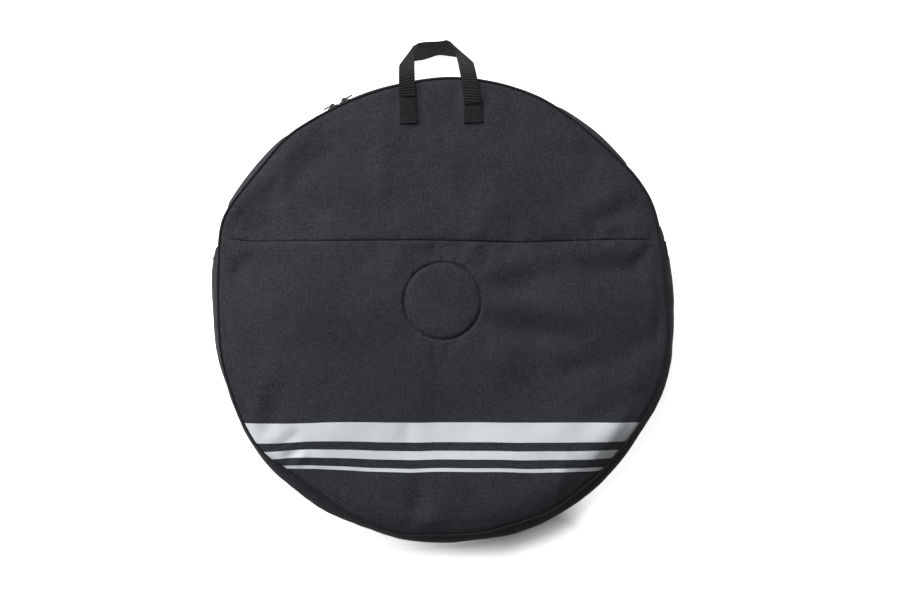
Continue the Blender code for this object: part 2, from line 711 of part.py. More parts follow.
def make_sliders():
    """Two sliders nose to nose, each on an axis through the middle of the bag."""
    slider = slider_mesh()
    pull = pull_tab_mesh()
    pull_axis_offset = TOOTH_THICKNESS / 2 + OUTER_CLEARANCE + PLATE_THICKNESS + PULL_AXIS_HEIGHT
    for hand, angle, turned_over in (
        ("left", SLIDER_MEETING_ANGLE + SLIDER_HALF_STEP, False),
        ("right", SLIDER_MEETING_ANGLE - SLIDER_HALF_STEP, True),
    ):
        run_axis = add_empty(f"zip_run_axis_{hand}", (0, 0, MIDDLE))
        body = add_object(f"zip_slider_{hand}", slider, SLIDER_METAL)
        body.location = (CHAIN_RADIUS * math.cos(angle), CHAIN_RADIUS * math.sin(angle), 0)
        facing = Matrix.Rotation(angle - math.pi / 2, 3, "Z")
        if turned_over:
            facing = facing @ Matrix.Rotation(math.pi, 3, "Y")
        body.rotation_euler = facing.to_euler()
        body.parent = run_axis
        tab = add_object(f"pull_tab_{hand}", pull, SLIDER_METAL)
        tab.location = (0, pull_axis_offset, 0)
        tab.rotation_euler = (0, 0, -PULL_REST_LIFT)
        tab.parent = body


def webbing_height(y):
    """Height of the webbing's underside: level on the flap, then down to the ground."""
    edge = PIPING_RING_RADIUS
    fall = FACE_CLEARANCE_HEIGHT - (FLOOR_GAP + WEBBING_THICKNESS)
    return FACE_CLEARANCE_HEIGHT - fall * eased((y - edge) / (HANDLE_REACH - edge))


def leg_side(leg, across, y):
    """Where a line along a leg lies at this y; across runs from -1 to 1 over the webbing's width."""
    middle, lean = leg
    start = HANDLE_SEAM_HEIGHT + FIT_GAP
    return middle + across * WEBBING_WIDTH / 2 + lean * eased((y - start) / (HANDLE_REACH - start))


def leg_mesh(leg, outer_side):
    """One leg of the loop, cut off slantwise where the webbing folds over."""
    start = HANDLE_SEAM_HEIGHT + FIT_GAP

    def place(across, along):
        end = HANDLE_REACH - WEBBING_WIDTH * (1 + across * outer_side) / 2
        y = start + (end - start) * along
        return Vector((leg_side(leg, across, y), y, webbing_height(y) + WEBBING_THICKNESS))

    return placed_grid(spaced(-1, 1, WEBBING_ROWS), spaced(0, 1, LEG_SEGMENTS), place)


def bar_mesh(left_leg, right_leg):
    """The cross bar of the loop, under both legs, cut slantwise to match them."""

    def place(along, across):
        y = HANDLE_REACH - WEBBING_WIDTH * (1 - across)
        left_end = leg_side(left_leg, 2 * across - 1, y)
        right_end = leg_side(right_leg, 1 - 2 * across, y)
        x = left_end + (right_end - left_end) * along
        return Vector((x, y, webbing_height(y) + HANDLE_JOINT))

    return placed_grid(spaced(0, 1, BAR_SEGMENTS), spaced(0, 1, WEBBING_ROWS), place)


def sheet_mesh(name, bm, thickness):
    """The mesh of a sheet made solid, for joining."""
    helper = thickened(name, bm, thickness, WEBBING)
    mesh = evaluated_mesh(helper)
    bpy.data.objects.remove(helper)
    return mesh


def make_handle(fold_axis):
    """Two sewn ends on the flap, and the loop that swings from them."""
    axis_height = FACE_CLEARANCE_HEIGHT + TAB_THICKNESS + FIT_GAP
    swing_axis = add_empty("handle_axis", (HANDLE_CENTRE, HANDLE_SEAM_HEIGHT, axis_height))
    attach(swing_axis, fold_axis)
    flap = []
    legs = []
    leg_sheets = []
    for hand, sign, lean in (("left", -1, HANDLE_LEANS[0]), ("right", 1, HANDLE_LEANS[1])):
        middle = HANDLE_CENTRE + sign * HANDLE_SPACING / 2
        sewn_end = box(
            (middle - TAB_WIDTH / 2, HANDLE_SEAM_HEIGHT - TAB_LENGTH, FACE_CLEARANCE_HEIGHT),
            (middle + TAB_WIDTH / 2, HANDLE_SEAM_HEIGHT, FACE_CLEARANCE_HEIGHT + TAB_THICKNESS),
        )
        tab = add_object(f"handle_tab_{hand}", mesh_of("handle_tab", sewn_end), WEBBING)
        flap.append(bevelled(tab, TAB_ROUNDING))
        legs.append((middle, lean))
        leg_sheets.append(sheet_mesh(f"leg_{hand}", leg_mesh(legs[-1], sign), WEBBING_THICKNESS))
    bar = sheet_mesh("bar", bar_mesh(*legs), WEBBING_THICKNESS)
    loop = add_object("handle_webbing", united_mesh("handle_webbing", [*leg_sheets, bar]), WEBBING)
    attach(loop, swing_axis)
    return flap


def add_empty(name, location):
    """A joint's axis."""
    empty = bpy.data.objects.new(name, None)
    empty.location = location
    PARTS.objects.link(empty)
    return empty


def attach(obj, parent):
    """Makes a piece that is already in place move with its joint's axis."""
    bpy.context.view_layer.update()
    obj.parent = parent
    obj.matrix_parent_inverse = parent.matrix_world.inverted()


def main():
    flap_side, panel_side = make_fold_cutters()
    fold_axis = add_empty("fold_axis", (0, FOLD_HEIGHT, BAG_DEPTH + FOLD_AXIS_LIFT))
    flap = make_panels(flap_side, panel_side)
    make_fold_tape()
    make_piping("back_piping", back_height(PIPING_DEPTH))
    make_piping("front_piping", front_height(PIPING_DEPTH), flap_side)
    flap.append(make_piping("flap_piping", front_height(PIPING_DEPTH), panel_side))
    flap.extend(make_side_wall())
    make_teeth("back", -1)
    flap.append(make_teeth("front", 1))
    flap.extend(make_zip_ends())
    make_sliders()
    flap.extend(make_handle(fold_axis))
    for piece in flap:
        attach(piece, fold_axis)


main()
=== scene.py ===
"""How the padded wheel bag looks: its cloth, seams, zip and webbing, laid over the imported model.

Lengths are in metres and angles in radians. The bag lies on its back, +Z points out
of the front panel and +Y towards the handle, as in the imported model.
"""

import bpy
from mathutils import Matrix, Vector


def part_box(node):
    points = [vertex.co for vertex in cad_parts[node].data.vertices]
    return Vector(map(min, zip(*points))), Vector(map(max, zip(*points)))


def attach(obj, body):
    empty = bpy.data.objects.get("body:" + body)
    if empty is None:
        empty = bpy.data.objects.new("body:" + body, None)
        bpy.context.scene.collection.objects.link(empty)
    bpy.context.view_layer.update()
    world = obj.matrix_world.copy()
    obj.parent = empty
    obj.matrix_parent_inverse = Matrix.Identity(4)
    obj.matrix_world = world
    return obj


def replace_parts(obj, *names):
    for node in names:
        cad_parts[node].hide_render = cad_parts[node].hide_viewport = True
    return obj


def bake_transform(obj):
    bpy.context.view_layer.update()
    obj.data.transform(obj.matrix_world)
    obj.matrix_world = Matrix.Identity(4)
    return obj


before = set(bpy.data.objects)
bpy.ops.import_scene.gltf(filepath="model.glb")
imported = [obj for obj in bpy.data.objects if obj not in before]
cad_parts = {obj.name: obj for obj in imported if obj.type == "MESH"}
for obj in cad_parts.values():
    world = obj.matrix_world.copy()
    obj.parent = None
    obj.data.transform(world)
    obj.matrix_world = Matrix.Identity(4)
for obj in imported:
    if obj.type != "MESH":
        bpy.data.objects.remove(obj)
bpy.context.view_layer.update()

import math
from functools import partial

import bmesh
import bpy
import numpy as np
from mathutils import Vector, noise

MM = 0.001
DEGREE = math.pi / 180
TURN = 2 * math.pi
SCENE = bpy.context.scene

# The photograph's frame, and where the bag lies in it
FRAME_WIDTH, FRAME_HEIGHT = 900, 599
PIXEL = 1.62 * MM  # one pixel at the front panel's height
PANEL_CENTRE_PIXEL = (442.8, 308.6)
CAMERA_DISTANCE = 2.2  # from the front panel's face
SENSOR_WIDTH = 36.0  # millimetres

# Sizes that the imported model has
PANEL_RADIUS = 370 * MM
BAG_DEPTH = 50 * MM
FLAT_RADIUS = 345 * MM
ROLL_DROP = 3 * MM
PIPING_RADIUS = 2.25 * MM
PIPING_RING_RADIUS = 372.55 * MM
PIPING_DEPTH = 3.45 * MM
WALL_RADIUS = 373.05 * MM
WALL_THICKNESS = 1.2 * MM
BACK_SEAM_HEIGHT = 6 * MM
FRONT_SEAM_HEIGHT = 44 * MM
UPPER_BOW = 1.5 * MM
STRIP_EDGE = 34.5 * MM
TAPE_EDGE = 29.8 * MM
FOLD_HEIGHT = 110 * MM
GAP = 0.3 * MM
LINING_GAP = 0.8 * MM
LINING_THICKNESS = 0.7 * MM
PADDED_THICKNESS = 6.2 * MM  # cloth and foam together
RIM_PADDED_THICKNESS = 3.7 * MM
HUB_RADIUS = 62.5 * MM
HUB_RISE = 12 * MM
ZIP_END_ANGLE = 17.38 * DEGREE
GUSSET_END_ANGLE = 16.99 * DEGREE
WALL_END_ANGLE = ZIP_END_ANGLE + 0.04 * DEGREE
WEBBING_THICKNESS = 1.8 * MM
TAB_THICKNESS = 3.6 * MM
HANDLE_SEAM = 343 * MM
HANDLE_REACH = 447 * MM

# The rim isn't quite round: (direction in degrees, distance in pixels from the panel's centre),
# for the front seam's piping and for the whole bag
RIM_PIXELS = (
    (0, 226.5), (4, 226), (8, 226.5), (12, 228.3), (16, 229), (20, 231.5), (24, 234.3), (28, 236),
    (32, 235.4), (36, 234.5), (40, 232.3), (45, 230.7), (50, 230.3), (55, 230.9), (60, 232.1),
    (65, 233.3), (75, 233), (85, 232.4), (90, 231.9), (95, 230.4), (100, 229.3), (105, 228.9),
    (110, 228.8), (115, 229), (120, 229.4), (125, 230.6), (130, 232.6), (134, 233.1), (138, 231.9),
    (142, 231.7), (146, 232.6), (150, 234.5), (154, 237.3), (157, 238.8), (160, 237.7), (163, 235),
    (166, 232.4), (168, 230.4), (172, 228.7), (176, 227), (181, 226), (185, 226.3), (190, 227.6),
    (195, 228.5), (200, 228.8), (205, 230), (210, 231.8), (215, 233), (219, 233), (222, 230.5),
    (225, 226.5), (229, 225.2), (235, 225), (239, 225.5), (243, 227.8), (246, 229.5), (250, 229.7),
    (255, 231.3), (259, 233), (263, 230.8), (267, 228.7), (271, 228.4), (276, 229.2), (282, 230),
    (288, 229.4), (292, 230), (297, 232.4), (302, 231.3), (307, 230.3), (312, 230.6), (317, 229.6),
    (323, 229.8), (329, 231), (335, 232.4), (341, 233.4), (346, 232.8), (350, 231.3), (355, 229),
)
OUTLINE_PIXELS = (
    (0, 231.4), (4, 231.2), (8, 231.3), (12, 231.3), (16, 232.5), (20, 233.2), (24, 234), (28, 236.3),
    (35, 235.2), (42, 234.1), (48, 234.4), (55, 233.5), (75, 233.2), (85, 232.8), (90, 232.1),
    (95, 230.2), (100, 228.2), (105, 226.8), (110, 226.3), (115, 226.7), (120, 228), (125, 229.5),
    (130, 233.6), (135, 234.9), (140, 235.5), (145, 236.4), (150, 237.8), (154, 239.3), (158, 238.6),
    (162, 236), (165, 234.1), (168, 234.8), (172, 233.9), (177, 231.2), (180, 230.2), (185, 229.8),
    (190, 230.6), (200, 229.7), (205, 231.3), (210, 232.8), (215, 233.8), (223, 235.7), (228, 234.3),
    (235, 234.6), (240, 235), (247, 233.2), (252, 233), (256, 234), (260, 234.8), (265, 235),
    (275, 234.1), (282, 235.2), (287, 236.8), (295, 237.5), (303, 236.8), (309, 236.9), (316, 235.9),
    (324, 234.3), (332, 234.7), (341, 236.1), (347, 234.5), (352, 232.3), (356, 231.5),
)
BACK_RIM_SHARE = 0.3  # of the front rim's waves
BOW_RUN = 13 * MM
PROFILE_RUN = 5 * DEGREE  # from the zip's end to the plain wall

# Hollows and ridges of the front face, by the photograph's pixels:
# (x, y, direction in degrees, length, width in pixels, height in millimetres)
DENTS = (
    (530, 306, -9, 44, 9, 4.4), (534, 332, -9, 42, 9, -4.8), (540, 360, -6, 46, 24, -5),
    (504, 360, 0, 14, 14, 4.8), (486, 420, 16, 84, 26, -8), (305, 208, 0, 52, 26, -6),
    (338, 150, 0, 34, 24, -3.6), (430, 398, 0, 44, 28, -5), (428, 370, 0, 48, 20, -3),
    (358, 234, 0, 30, 16, 1.8), (512, 261, 27, 34, 8, 2.2), (524, 283, 20, 34, 8, -3.2),
    (602, 303, 2, 36, 9, 1.4), (610, 250, 0, 26, 6, 1.6), (615, 268, 5, 24, 7, -3.4),
    (643, 259, 50, 18, 6, -3), (635, 304, 20, 24, 9, 1), (648, 341, 25, 28, 10, -3.2),
    (585, 366, 15, 20, 8, -3.2), (530, 244, 2, 42, 6, -2.7), (478, 235, 72, 30, 8, 1.4),
    (612, 196, 22, 30, 7, 1.8), (622, 213, 22, 30, 7, -2.6), (381, 168, 88, 32, 7, 2.8),
    (466, 188, 88, 22, 8, -2.4), (490, 206, 30, 16, 12, 3), (277, 158, 38, 34, 8, 2.4),
    (296, 177, 38, 34, 10, -1.4), (262, 226, -22, 16, 6, -3), (578, 153, -12, 18, 6, -2.4),
    (528, 135, 100, 16, 7, 1.6), (300, 285, 86, 78, 34, 5.6), (340, 314, 2, 60, 12, 0.4),
    (345, 349, 4, 60, 14, -2), (258, 405, 75, 34, 7, 2), (275, 412, 78, 30, 7, -1.8),
    (289, 440, 35, 9, 4, -2.8), (287, 459, 45, 9, 4, -3.4), (293, 467, 45, 11, 4, 2.6),
    (317, 477, -25, 16, 6, -3.8), (308, 450, 0, 7, 5, -2.4), (408, 436, 90, 12, 6, -2.2),
    (417, 500, 80, 20, 6, -3), (436, 510, 60, 20, 8, 2.4), (562, 478, 80, 18, 5, 3),
    (612, 410, 30, 24, 8, -3.8), (608, 440, 60, 24, 9, 2.7), (457, 93, 88, 14, 5, -2.6),
    (488, 93, 85, 14, 4, -1.8), (394, 93, 92, 14, 4, -1.6), (420, 93, 88, 14, 4, -1.8),
)
CROWN = 1.2 * MM
SLOPES = (  # where the front rolls down early: (direction, spread, width, drop)
    (318, 22, 50 * MM, 12.0 * MM),
    (268, 24, 30 * MM, 5.0 * MM),
    (235, 16, 24 * MM, 3.0 * MM),
)
FOLD_LINE_PIXELS = (  # (x, y) along the fold's seam
    (226, 244.5), (240, 243.8), (262, 243), (300, 241.8), (350, 241), (420, 240.4), (470, 241.4),
    (519, 242.6), (570, 241.5), (620, 240), (645, 239.6), (657, 240.8), (664, 241.2),
)
SLOPE_FADE = 36 * DEGREE  # under the zip's end
FRONT_ROLL_DROP = 1.8 * MM

# The drawn folds fade out from here to the rim, and down to a share over the hub
DENTS_END, DENTS_END_RUN = 350 * MM, 18 * MM
CALM_HUB, CALM_HUB_RUN, CALM_HUB_SHARE = 48 * MM, 26 * MM, 0.1

# Uneven cloth: height, layer of the noise, length of a wave
FRONT_RIPPLES = ((1.6 * MM, 0, 90 * MM), (0.5 * MM, 3, 28 * MM))
BACK_RIPPLE = (0.35 * MM, 7, 110 * MM)
WALL_RIPPLE = (0.9 * MM, 11, 34 * MM)
PIPING_RIPPLE = (0.12 * MM, 5, 9 * MM)
OCTAVES = 2

# Grooves and ridges beside the seams: height, width
HUB_GROOVE = (-2.2 * MM, 2.3 * MM)
FOLD_GROOVE = (-2.2 * MM, 1.5 * MM)
FOLD_RIDGE = (0.5 * MM, 3.5 * MM)
FOLD_RIDGE_OFFSET = 5 * MM
BACK_HUB_RIDGE = (1.1 * MM, 1.9 * MM)
HUB_MOUND = 2.6 * MM
SHOULDER_RUN = 6 * MM
FRONT_SHOULDER, BACK_SHOULDER = 0.5 * MM, 1.6 * MM
FOLD_END, FOLD_END_RUN = 322 * MM, 22 * MM  # the fold's groove fades out here
WAVE_END, WAVE_END_RUN = 300 * MM, 40 * MM  # and the fold's waves here
WAVE_REACH = 26 * MM  # of the fold's waves into the panel
WAVE_PITCH, WAVE_SMOOTHING = 4 * MM, 9

# A panel's rings of points in millimetres: round the hub, between, at the rim
HUB_RINGS = (6, 14, 22, 30, 38, 46, 52, 56, 58.5, 60, 61.2, 62.5, 63.8, 65, 66.5, 69, 73, 79)
OPEN_RINGS = np.linspace(86, 334, 38)
RIM_RINGS = (340, 345, 349, 353, 357, 360, 362.5, 364.8, 366.8, 368.4, 369.5, 370)
# The rings lie round the hub up to here, and round the panel's middle after the run
RING_SHIFT_START, RING_SHIFT_RUN = 80 * MM, 230 * MM
COVER_COLUMNS, LINING_COLUMNS = 384, 192
# Straight rows of points beside the fold seam in millimetres, and those where the flap bends
COVER_SEAM_ROWS = (-6, -3.5, -2.2, -1.4, -0.7, 0, 0.7, 1.4, 2.2, 3.5)
LINING_SEAM_ROWS = (-3, 0, 3)
BENT_ROWS = (6, 9, 12, 15, 18, 21, 25)
BEND_RUN = 25 * MM
BEND_PITCH = 1.5 * MM
CUT_SNAP, MERGE_SNAP = 0.02 * MM, 0.01 * MM
SHEET_CREASE = 40  # degrees


def eased(share):
    """0 to 1 with a level start and end."""
    share = np.clip(share, 0, 1)
    return share * share * (3 - 2 * share)


def fading(value, start, run):
    """1 down to 0 over the run after the start."""
    return 1 - eased((value - start) / run)


def swell(off, height, width):
    """A ridge's height, or a groove's depth, this far off its line."""
    return height * np.exp(-((off / width) ** 2))


def arch(share, power=2):
    """0 at both ends and 1 halfway."""
    return 1 - (2 * share - 1) ** power


def circle(count):
    """Directions all round, evenly spaced."""
    return np.arange(count) * TURN / count


def polar(radius, angle):
    return radius * np.cos(angle), radius * np.sin(angle)


def stacked(*parts):
    """Points from their coordinates, each an array or a number."""
    return np.stack(np.broadcast_arrays(*parts), -1)


def bump(angle, centre, spread):
    """A smooth bump of height 1 round one direction, both in degrees."""
    off = (np.degrees(angle) - centre + 180) % 360 - 180
    return np.exp(-0.5 * (off / spread) ** 2)


def below_fold(angle):
    """How far round the rim a direction lies under the zip's end."""
    return GUSSET_END_ANGLE - np.arcsin(np.sin(angle))


def averaged(padded, kernel):
    """A line smoothed by a kernel, which takes up its padding."""
    return np.convolve(padded, kernel / kernel.sum(), "valid")


def run_along(x, y):
    """Each point's distance from the first, along the line."""
    return np.concatenate([[0], np.cumsum(np.hypot(np.diff(x), np.diff(y)))])


def smoothed(knots, spread=1.6):
    """Distances for every half degree, from a few measured ones."""
    directions, distances = np.array(knots, float).T
    plain = np.interp(HALF_DEGREES, directions, distances, period=360)
    reach = round(6 * spread)
    kernel = np.exp(-0.5 * (np.arange(-reach, reach + 1) / (2 * spread)) ** 2)
    return averaged(np.pad(plain, reach, "wrap"), kernel)


HALF_DEGREES = np.arange(0, 360, 0.5)
RIM = smoothed(RIM_PIXELS)
OUTLINE = smoothed(OUTLINE_PIXELS)


def pixel_size(height):
    return PIXEL * (1 + (BAG_DEPTH - height) / CAMERA_DISTANCE)


def distance_at(table, angle, height):
    """A table's distance in this direction, for something that lies at this height."""
    return np.interp(np.degrees(angle), HALF_DEGREES, table, period=360) * pixel_size(height)


def seam_scale(angle, front=1.0):
    """The rim seam's distance from the centre, as a share of a circle's; the back's is rounder."""
    front_piping = distance_at(RIM, angle, BAG_DEPTH - PIPING_DEPTH) - PIPING_RADIUS
    wave = front_piping / PIPING_RING_RADIUS - 1
    return 1 + wave * (BACK_RIM_SHARE + (1 - BACK_RIM_SHARE) * front)


def rim_drop(angle):
    """How much lower the front rim hangs than a level one."""
    full = sum(drop * bump(angle, direction, spread) for direction, spread, _, drop in SLOPES)
    return full * eased(below_fold(angle) / SLOPE_FADE)


def ripple(x, y, height, layer, wave):
    """Smooth noise up to this height at each point."""
    points = stacked(x, y, layer) / wave
    values = [noise.fractal(Vector(p), 1.0, 2.0, OCTAVES) for p in points.reshape(-1, 3)]
    return height * np.array(values).reshape(points.shape[:-1])


def at_pixel(px, py, height=BAG_DEPTH):
    """The point that a pixel of the photograph shows at this height."""
    size = pixel_size(height)
    middle_x = (FRAME_WIDTH / 2 - PANEL_CENTRE_PIXEL[0]) * PIXEL
    middle_y = (PANEL_CENTRE_PIXEL[1] - FRAME_HEIGHT / 2) * PIXEL
    return middle_x + (px - FRAME_WIDTH / 2) * size, middle_y + (FRAME_HEIGHT / 2 - py) * size


# Materials


def linear(*levels):
    """A colour given as 0 to 255 levels on a screen, in the renderer's own terms."""
    shares = [level / 255 for level in levels]
    return tuple(s / 12.92 if s <= 0.04045 else ((s + 0.055) / 1.055) ** 2.4 for s in shares)


def plug(made, **inputs):
    """Sets a shader node's inputs to values or links; i0 is its first input."""
    for name, value in inputs.items():
        socket = made.inputs[int(name[1:])] if name[1:].isdigit() else made.inputs[name.replace("_", " ")]
        if isinstance(value, bpy.types.NodeSocket):
            made.id_data.links.new(value, socket)
        else:
            socket.default_value = value


def node(tree, kind, settings=None, out=0, **inputs):
    """A shader node with its settings and inputs; returns one of its outputs."""
    made = tree.nodes.new("ShaderNode" + kind)
    for name, value in (settings or {}).items():
        setattr(made, name, value)
    plug(made, **inputs)
    return made.outputs[out]


def math_node(operation, a, b=0.0):
    """The result for one or two numbers, at least one of them a node's output."""
    tree = (a if isinstance(a, bpy.types.NodeSocket) else b).id_data
    return node(tree, "Math", {"operation": operation}, i0=a, i1=b)


plus = partial(math_node, "ADD")
minus = partial(math_node, "SUBTRACT")
times = partial(math_node, "MULTIPLY")


def new_material(name, roughness, specular, metallic=0.0, sheen=0.0):
    material = bpy.data.materials.new(name)
    material.use_nodes = True
    shader = material.node_tree.nodes["Principled BSDF"]
    plug(shader, Roughness=roughness, Specular_IOR_Level=specular, Metallic=metallic)
    plug(shader, Sheen_Weight=sheen, Sheen_Roughness=0.6)
    return material, material.node_tree, shader


def stretched_noise(u, v, along_u, along_v, detail=2.0):
    """Noise from 0 to 1 whose spots have these lengths along the cloth's two directions."""
    tree = u.id_data
    place = node(
        tree, "CombineXYZ", X=math_node("DIVIDE", u, along_u), Y=math_node("DIVIDE", v, along_v)
    )
    return node(tree, "TexNoise", Vector=place, Scale=1.0, Detail=detail, Roughness=0.55)


def weighted(*parts):
    """The sum of (output, weight) pairs, each output taken about its middle."""
    total = None
    for output, weight in parts:
        share = times(minus(output, 0.5), weight)
        total = share if total is None else plus(total, share)
    return total


def tinted(tone, change):
    """A colour in screen levels, made lighter or darker by the given share."""
    settings = {"operation": "SCALE"}
    return node(change.id_data, "VectorMath", settings, i0=linear(*tone), Scale=plus(change, 1.0))


def relief_normal(height, strength, distance):
    return node(height.id_data, "Bump", Strength=strength, Distance=distance, Height=height)


def stripe_mask(u, v):
    """1 on the printed stripes, else 0; the ink's edge is a little uneven."""
    across = plus(v, times(stretched_noise(u, v, INK_SPOTS, INK_SPOTS), INK_WOBBLE))
    mask = None
    for middle, width in PRINT_STRIPES:
        on = math_node("LESS_THAN", math_node("ABSOLUTE", minus(across, middle)), width / 2)
        mask = on if mask is None else math_node("MAXIMUM", mask, on)
    return mask


def cloth(name, tone, pitch, relief, roughness=0.55, specular=0.06, ink=None):
    """Woven cloth: two crossing yarns, uneven yarn thickness, and a slightly uneven dye."""
    pitch, relief = pitch * MM, relief * MM
    material, tree, shader = new_material(name, roughness, specular, sheen=CLOTH_SHEEN)
    place = node(tree, "Attribute", {"attribute_name": "cloth"}, "Vector")
    u, v, _ = node(tree, "SeparateXYZ", i0=place).node.outputs
    weave = times(*(math_node("SINE", times(along, TURN / pitch)) for along in (u, v)))
    warp = stretched_noise(u, v, pitch * YARN_SPOTS, pitch * YARN_LENGTH)
    weft = stretched_noise(u, v, pitch * YARN_LENGTH, pitch * YARN_SPOTS)
    grain, cloudy, broad = (stretched_noise(u, v, size, size, detail) for size, detail in CLOTH_SPOTS)
    spots = (warp, weft, grain, cloudy, broad)
    change = plus(weighted(*zip(spots, TONE_SHARES)), times(weave, WEAVE_SHARE))
    colour = tinted(tone, change)
    rough = plus(weighted((cloudy, 0.12), (grain, 0.12)), roughness)
    height = plus(weave, weighted(*zip(spots, RELIEF_SHARES)))
    if ink:
        mask = stripe_mask(u, v)
        printed = tinted(ink, weighted((cloudy, 0.05), (warp, 0.05), (weft, 0.05)))
        colour = node(tree, "Mix", {"data_type": "RGBA"}, 2, i0=mask, i6=colour, i7=printed)
        height = times(height, minus(1.0, times(mask, 0.5)))
    plug(shader, Base_Color=colour, Roughness=rough, Normal=relief_normal(height, 0.9, relief))
    return material


def hard(name, tone, roughness, metallic, grain, relief):
    """Moulded plastic or cast metal: fine grain, with scuffs that are smoother and lighter."""
    grain, relief = grain * MM, relief * MM
    material, tree, shader = new_material(name, roughness, HARD_SPECULAR, metallic)
    place = node(tree, "TexCoord", out="Object")
    fine = node(tree, "TexNoise", Vector=place, Scale=1 / grain, Detail=3.0)
    scuffs = node(tree, "TexNoise", Vector=place, Scale=1 / (grain * SCUFF_SIZE), Detail=5.0)
    rough = plus(weighted((scuffs, -0.4), (fine, 0.1)), roughness)
    colour = tinted(tone, weighted((fine, 0.2), (scuffs, 0.7)))
    plug(shader, Base_Color=colour, Roughness=rough, Normal=relief_normal(fine, 0.6, relief))
    return material


CLOTH_SHEEN = 0.01
# Spots of the yarns in pitches of the weave; size and detail of the grain, the clouds and the broad spots
YARN_SPOTS, YARN_LENGTH = 2.4, 30
CLOTH_SPOTS = ((4.2 * MM, 1.5), (14 * MM, 4.0), (120 * MM, 2.0))
# What the warp, the weft and those three do to the tone and to the relief
TONE_SHARES = (0.5, 0.5, 1.5, 0.6, 0.6)
RELIEF_SHARES = (1.0, 1.0, 2.6, 2.5)
WEAVE_SHARE = 0.16
INK_SPOTS, INK_WOBBLE = 2 * MM, 0.5 * MM
HARD_SPECULAR = 0.4
SCUFF_SIZE = 9  # grains
# The printed stripes: (middle's distance from the panel's centre along Y, width)
PRINT_STRIPES = ((-201 * MM, 32 * MM), (-238 * MM, 14 * MM), (-262 * MM, 6 * MM))

FABRIC_TONE = (50, 52, 56)
# Name, tone, pitch of the weave and its relief in millimetres, roughness, specular level
BAG_CLOTH = cloth("bag_cloth", FABRIC_TONE, 0.62, 0.10)
# The piping is the bag's own cloth, toned darker: painted shade for the dark line along the rim seams
PIPING_CLOTH_PAINTED_SHADE = cloth("piping_cloth_painted_shade", (36, 37, 40), 0.62, 0.10)
PRINTED_CLOTH = cloth("printed_bag_cloth", FABRIC_TONE, 0.62, 0.10, ink=(214, 219, 222))
LINING_CLOTH = cloth("lining_cloth", (70, 71, 74), 0.40, 0.05)
WEBBING_CLOTH = cloth("webbing_cloth", (29, 30, 33), 1.3, 0.16, 0.55, 0.1)
# The same webbing toned darker for the cross bar: painted shade on the bar, which lies behind the legs
WEBBING_PAINTED_SHADE = cloth("webbing_painted_shade", (24, 25, 28), 1.3, 0.16, 0.6, 0.08)
ZIP_CLOTH = cloth("zip_cloth", (30, 31, 34), 0.9, 0.10, 0.7, 0.3)
THREAD = cloth("thread", (34, 35, 38), 0.35, 0.05)
# Name, tone, roughness, metallic share, size of the grain and its relief in millimetres
TOOTH_PLASTIC = hard("tooth_plastic", (30, 30, 33), 0.38, 0.0, 0.5, 0.03)
PLATE_PLASTIC = hard("plate_plastic", (36, 36, 38), 0.5, 0.0, 0.8, 0.05)
DARK_METAL = hard("dark_metal", (70, 70, 74), 0.34, 0.85, 0.4, 0.02)


# Meshes


def placed(name, data):
    """A new object of the scene."""
    obj = bpy.data.objects.new(name, data)
    SCENE.collection.objects.link(obj)
    return obj


def finished(name, mesh, bm, material, cloth_places=None, sharp=None):
    """The piece that a bmesh makes; cloth_places says where each point lies on the flat cloth."""
    bmesh.ops.recalc_face_normals(bm, faces=bm.faces)
    bm.to_mesh(mesh)
    bm.free()
    if cloth_places is not None:
        layer = mesh.attributes.new("cloth", "FLOAT_VECTOR", "POINT")
        layer.data.foreach_set("vector", np.asarray(cloth_places, np.float32).ravel())
    mesh.shade_smooth()
    if sharp:
        mesh.set_sharp_from_angle(angle=sharp * DEGREE)
    obj = placed(name, mesh)
    mesh.materials.append(material)
    return obj


def new_piece(name, points, faces, material, cloth_places=None, sharp=None):
    mesh = bpy.data.meshes.new(name)
    mesh.from_pydata(np.reshape(points, (-1, 3)).tolist(), [], faces)
    bm = bmesh.new()
    bm.from_mesh(mesh)
    return finished(name, mesh, bm, material, cloth_places, sharp)


def strip_faces(rows, columns, first=0, flip=False, wrap=False):
    """Faces between the points of a grid; wrap joins the last column to the first."""
    faces = []
    for r in range(rows - 1):
        for c in range(columns if wrap else columns - 1):
            a, b = (first + r * columns + n for n in (c, (c + 1) % columns))
            quad = [a, b, b + columns, a + columns]
            faces.append(quad[::-1] if flip else quad)
    return faces


def tube_faces(rows, columns):
    """Faces of a grid whose last row and column join its first."""
    last = (rows - 1) * columns
    pairs = [(c, (c + 1) % columns) for c in range(columns)]
    return strip_faces(rows, columns, wrap=True) + [[last + c, last + d, d, c] for c, d in pairs]


def sheet_solid(name, outer, inner, material, places):
    """A closed sheet between two grids of points, each rows by columns by 3."""
    rows, columns = outer.shape[:2]
    count = rows * columns
    faces = strip_faces(rows, columns) + strip_faces(rows, columns, count, True)
    for row in (0, rows - 1):
        for a in range(row * columns, (row + 1) * columns - 1):
            b = a + 1
            faces.append([a, b, b + count, a + count] if row else [b, a, a + count, b + count])
    for column in (0, columns - 1):
        for a in range(column, column + count - columns, columns):
            b = a + columns
            faces.append([b, a, a + count, b + count] if column else [a, b, b + count, a + count])
    return new_piece(name, [outer, inner], faces, material, [places, places], SHEET_CREASE)


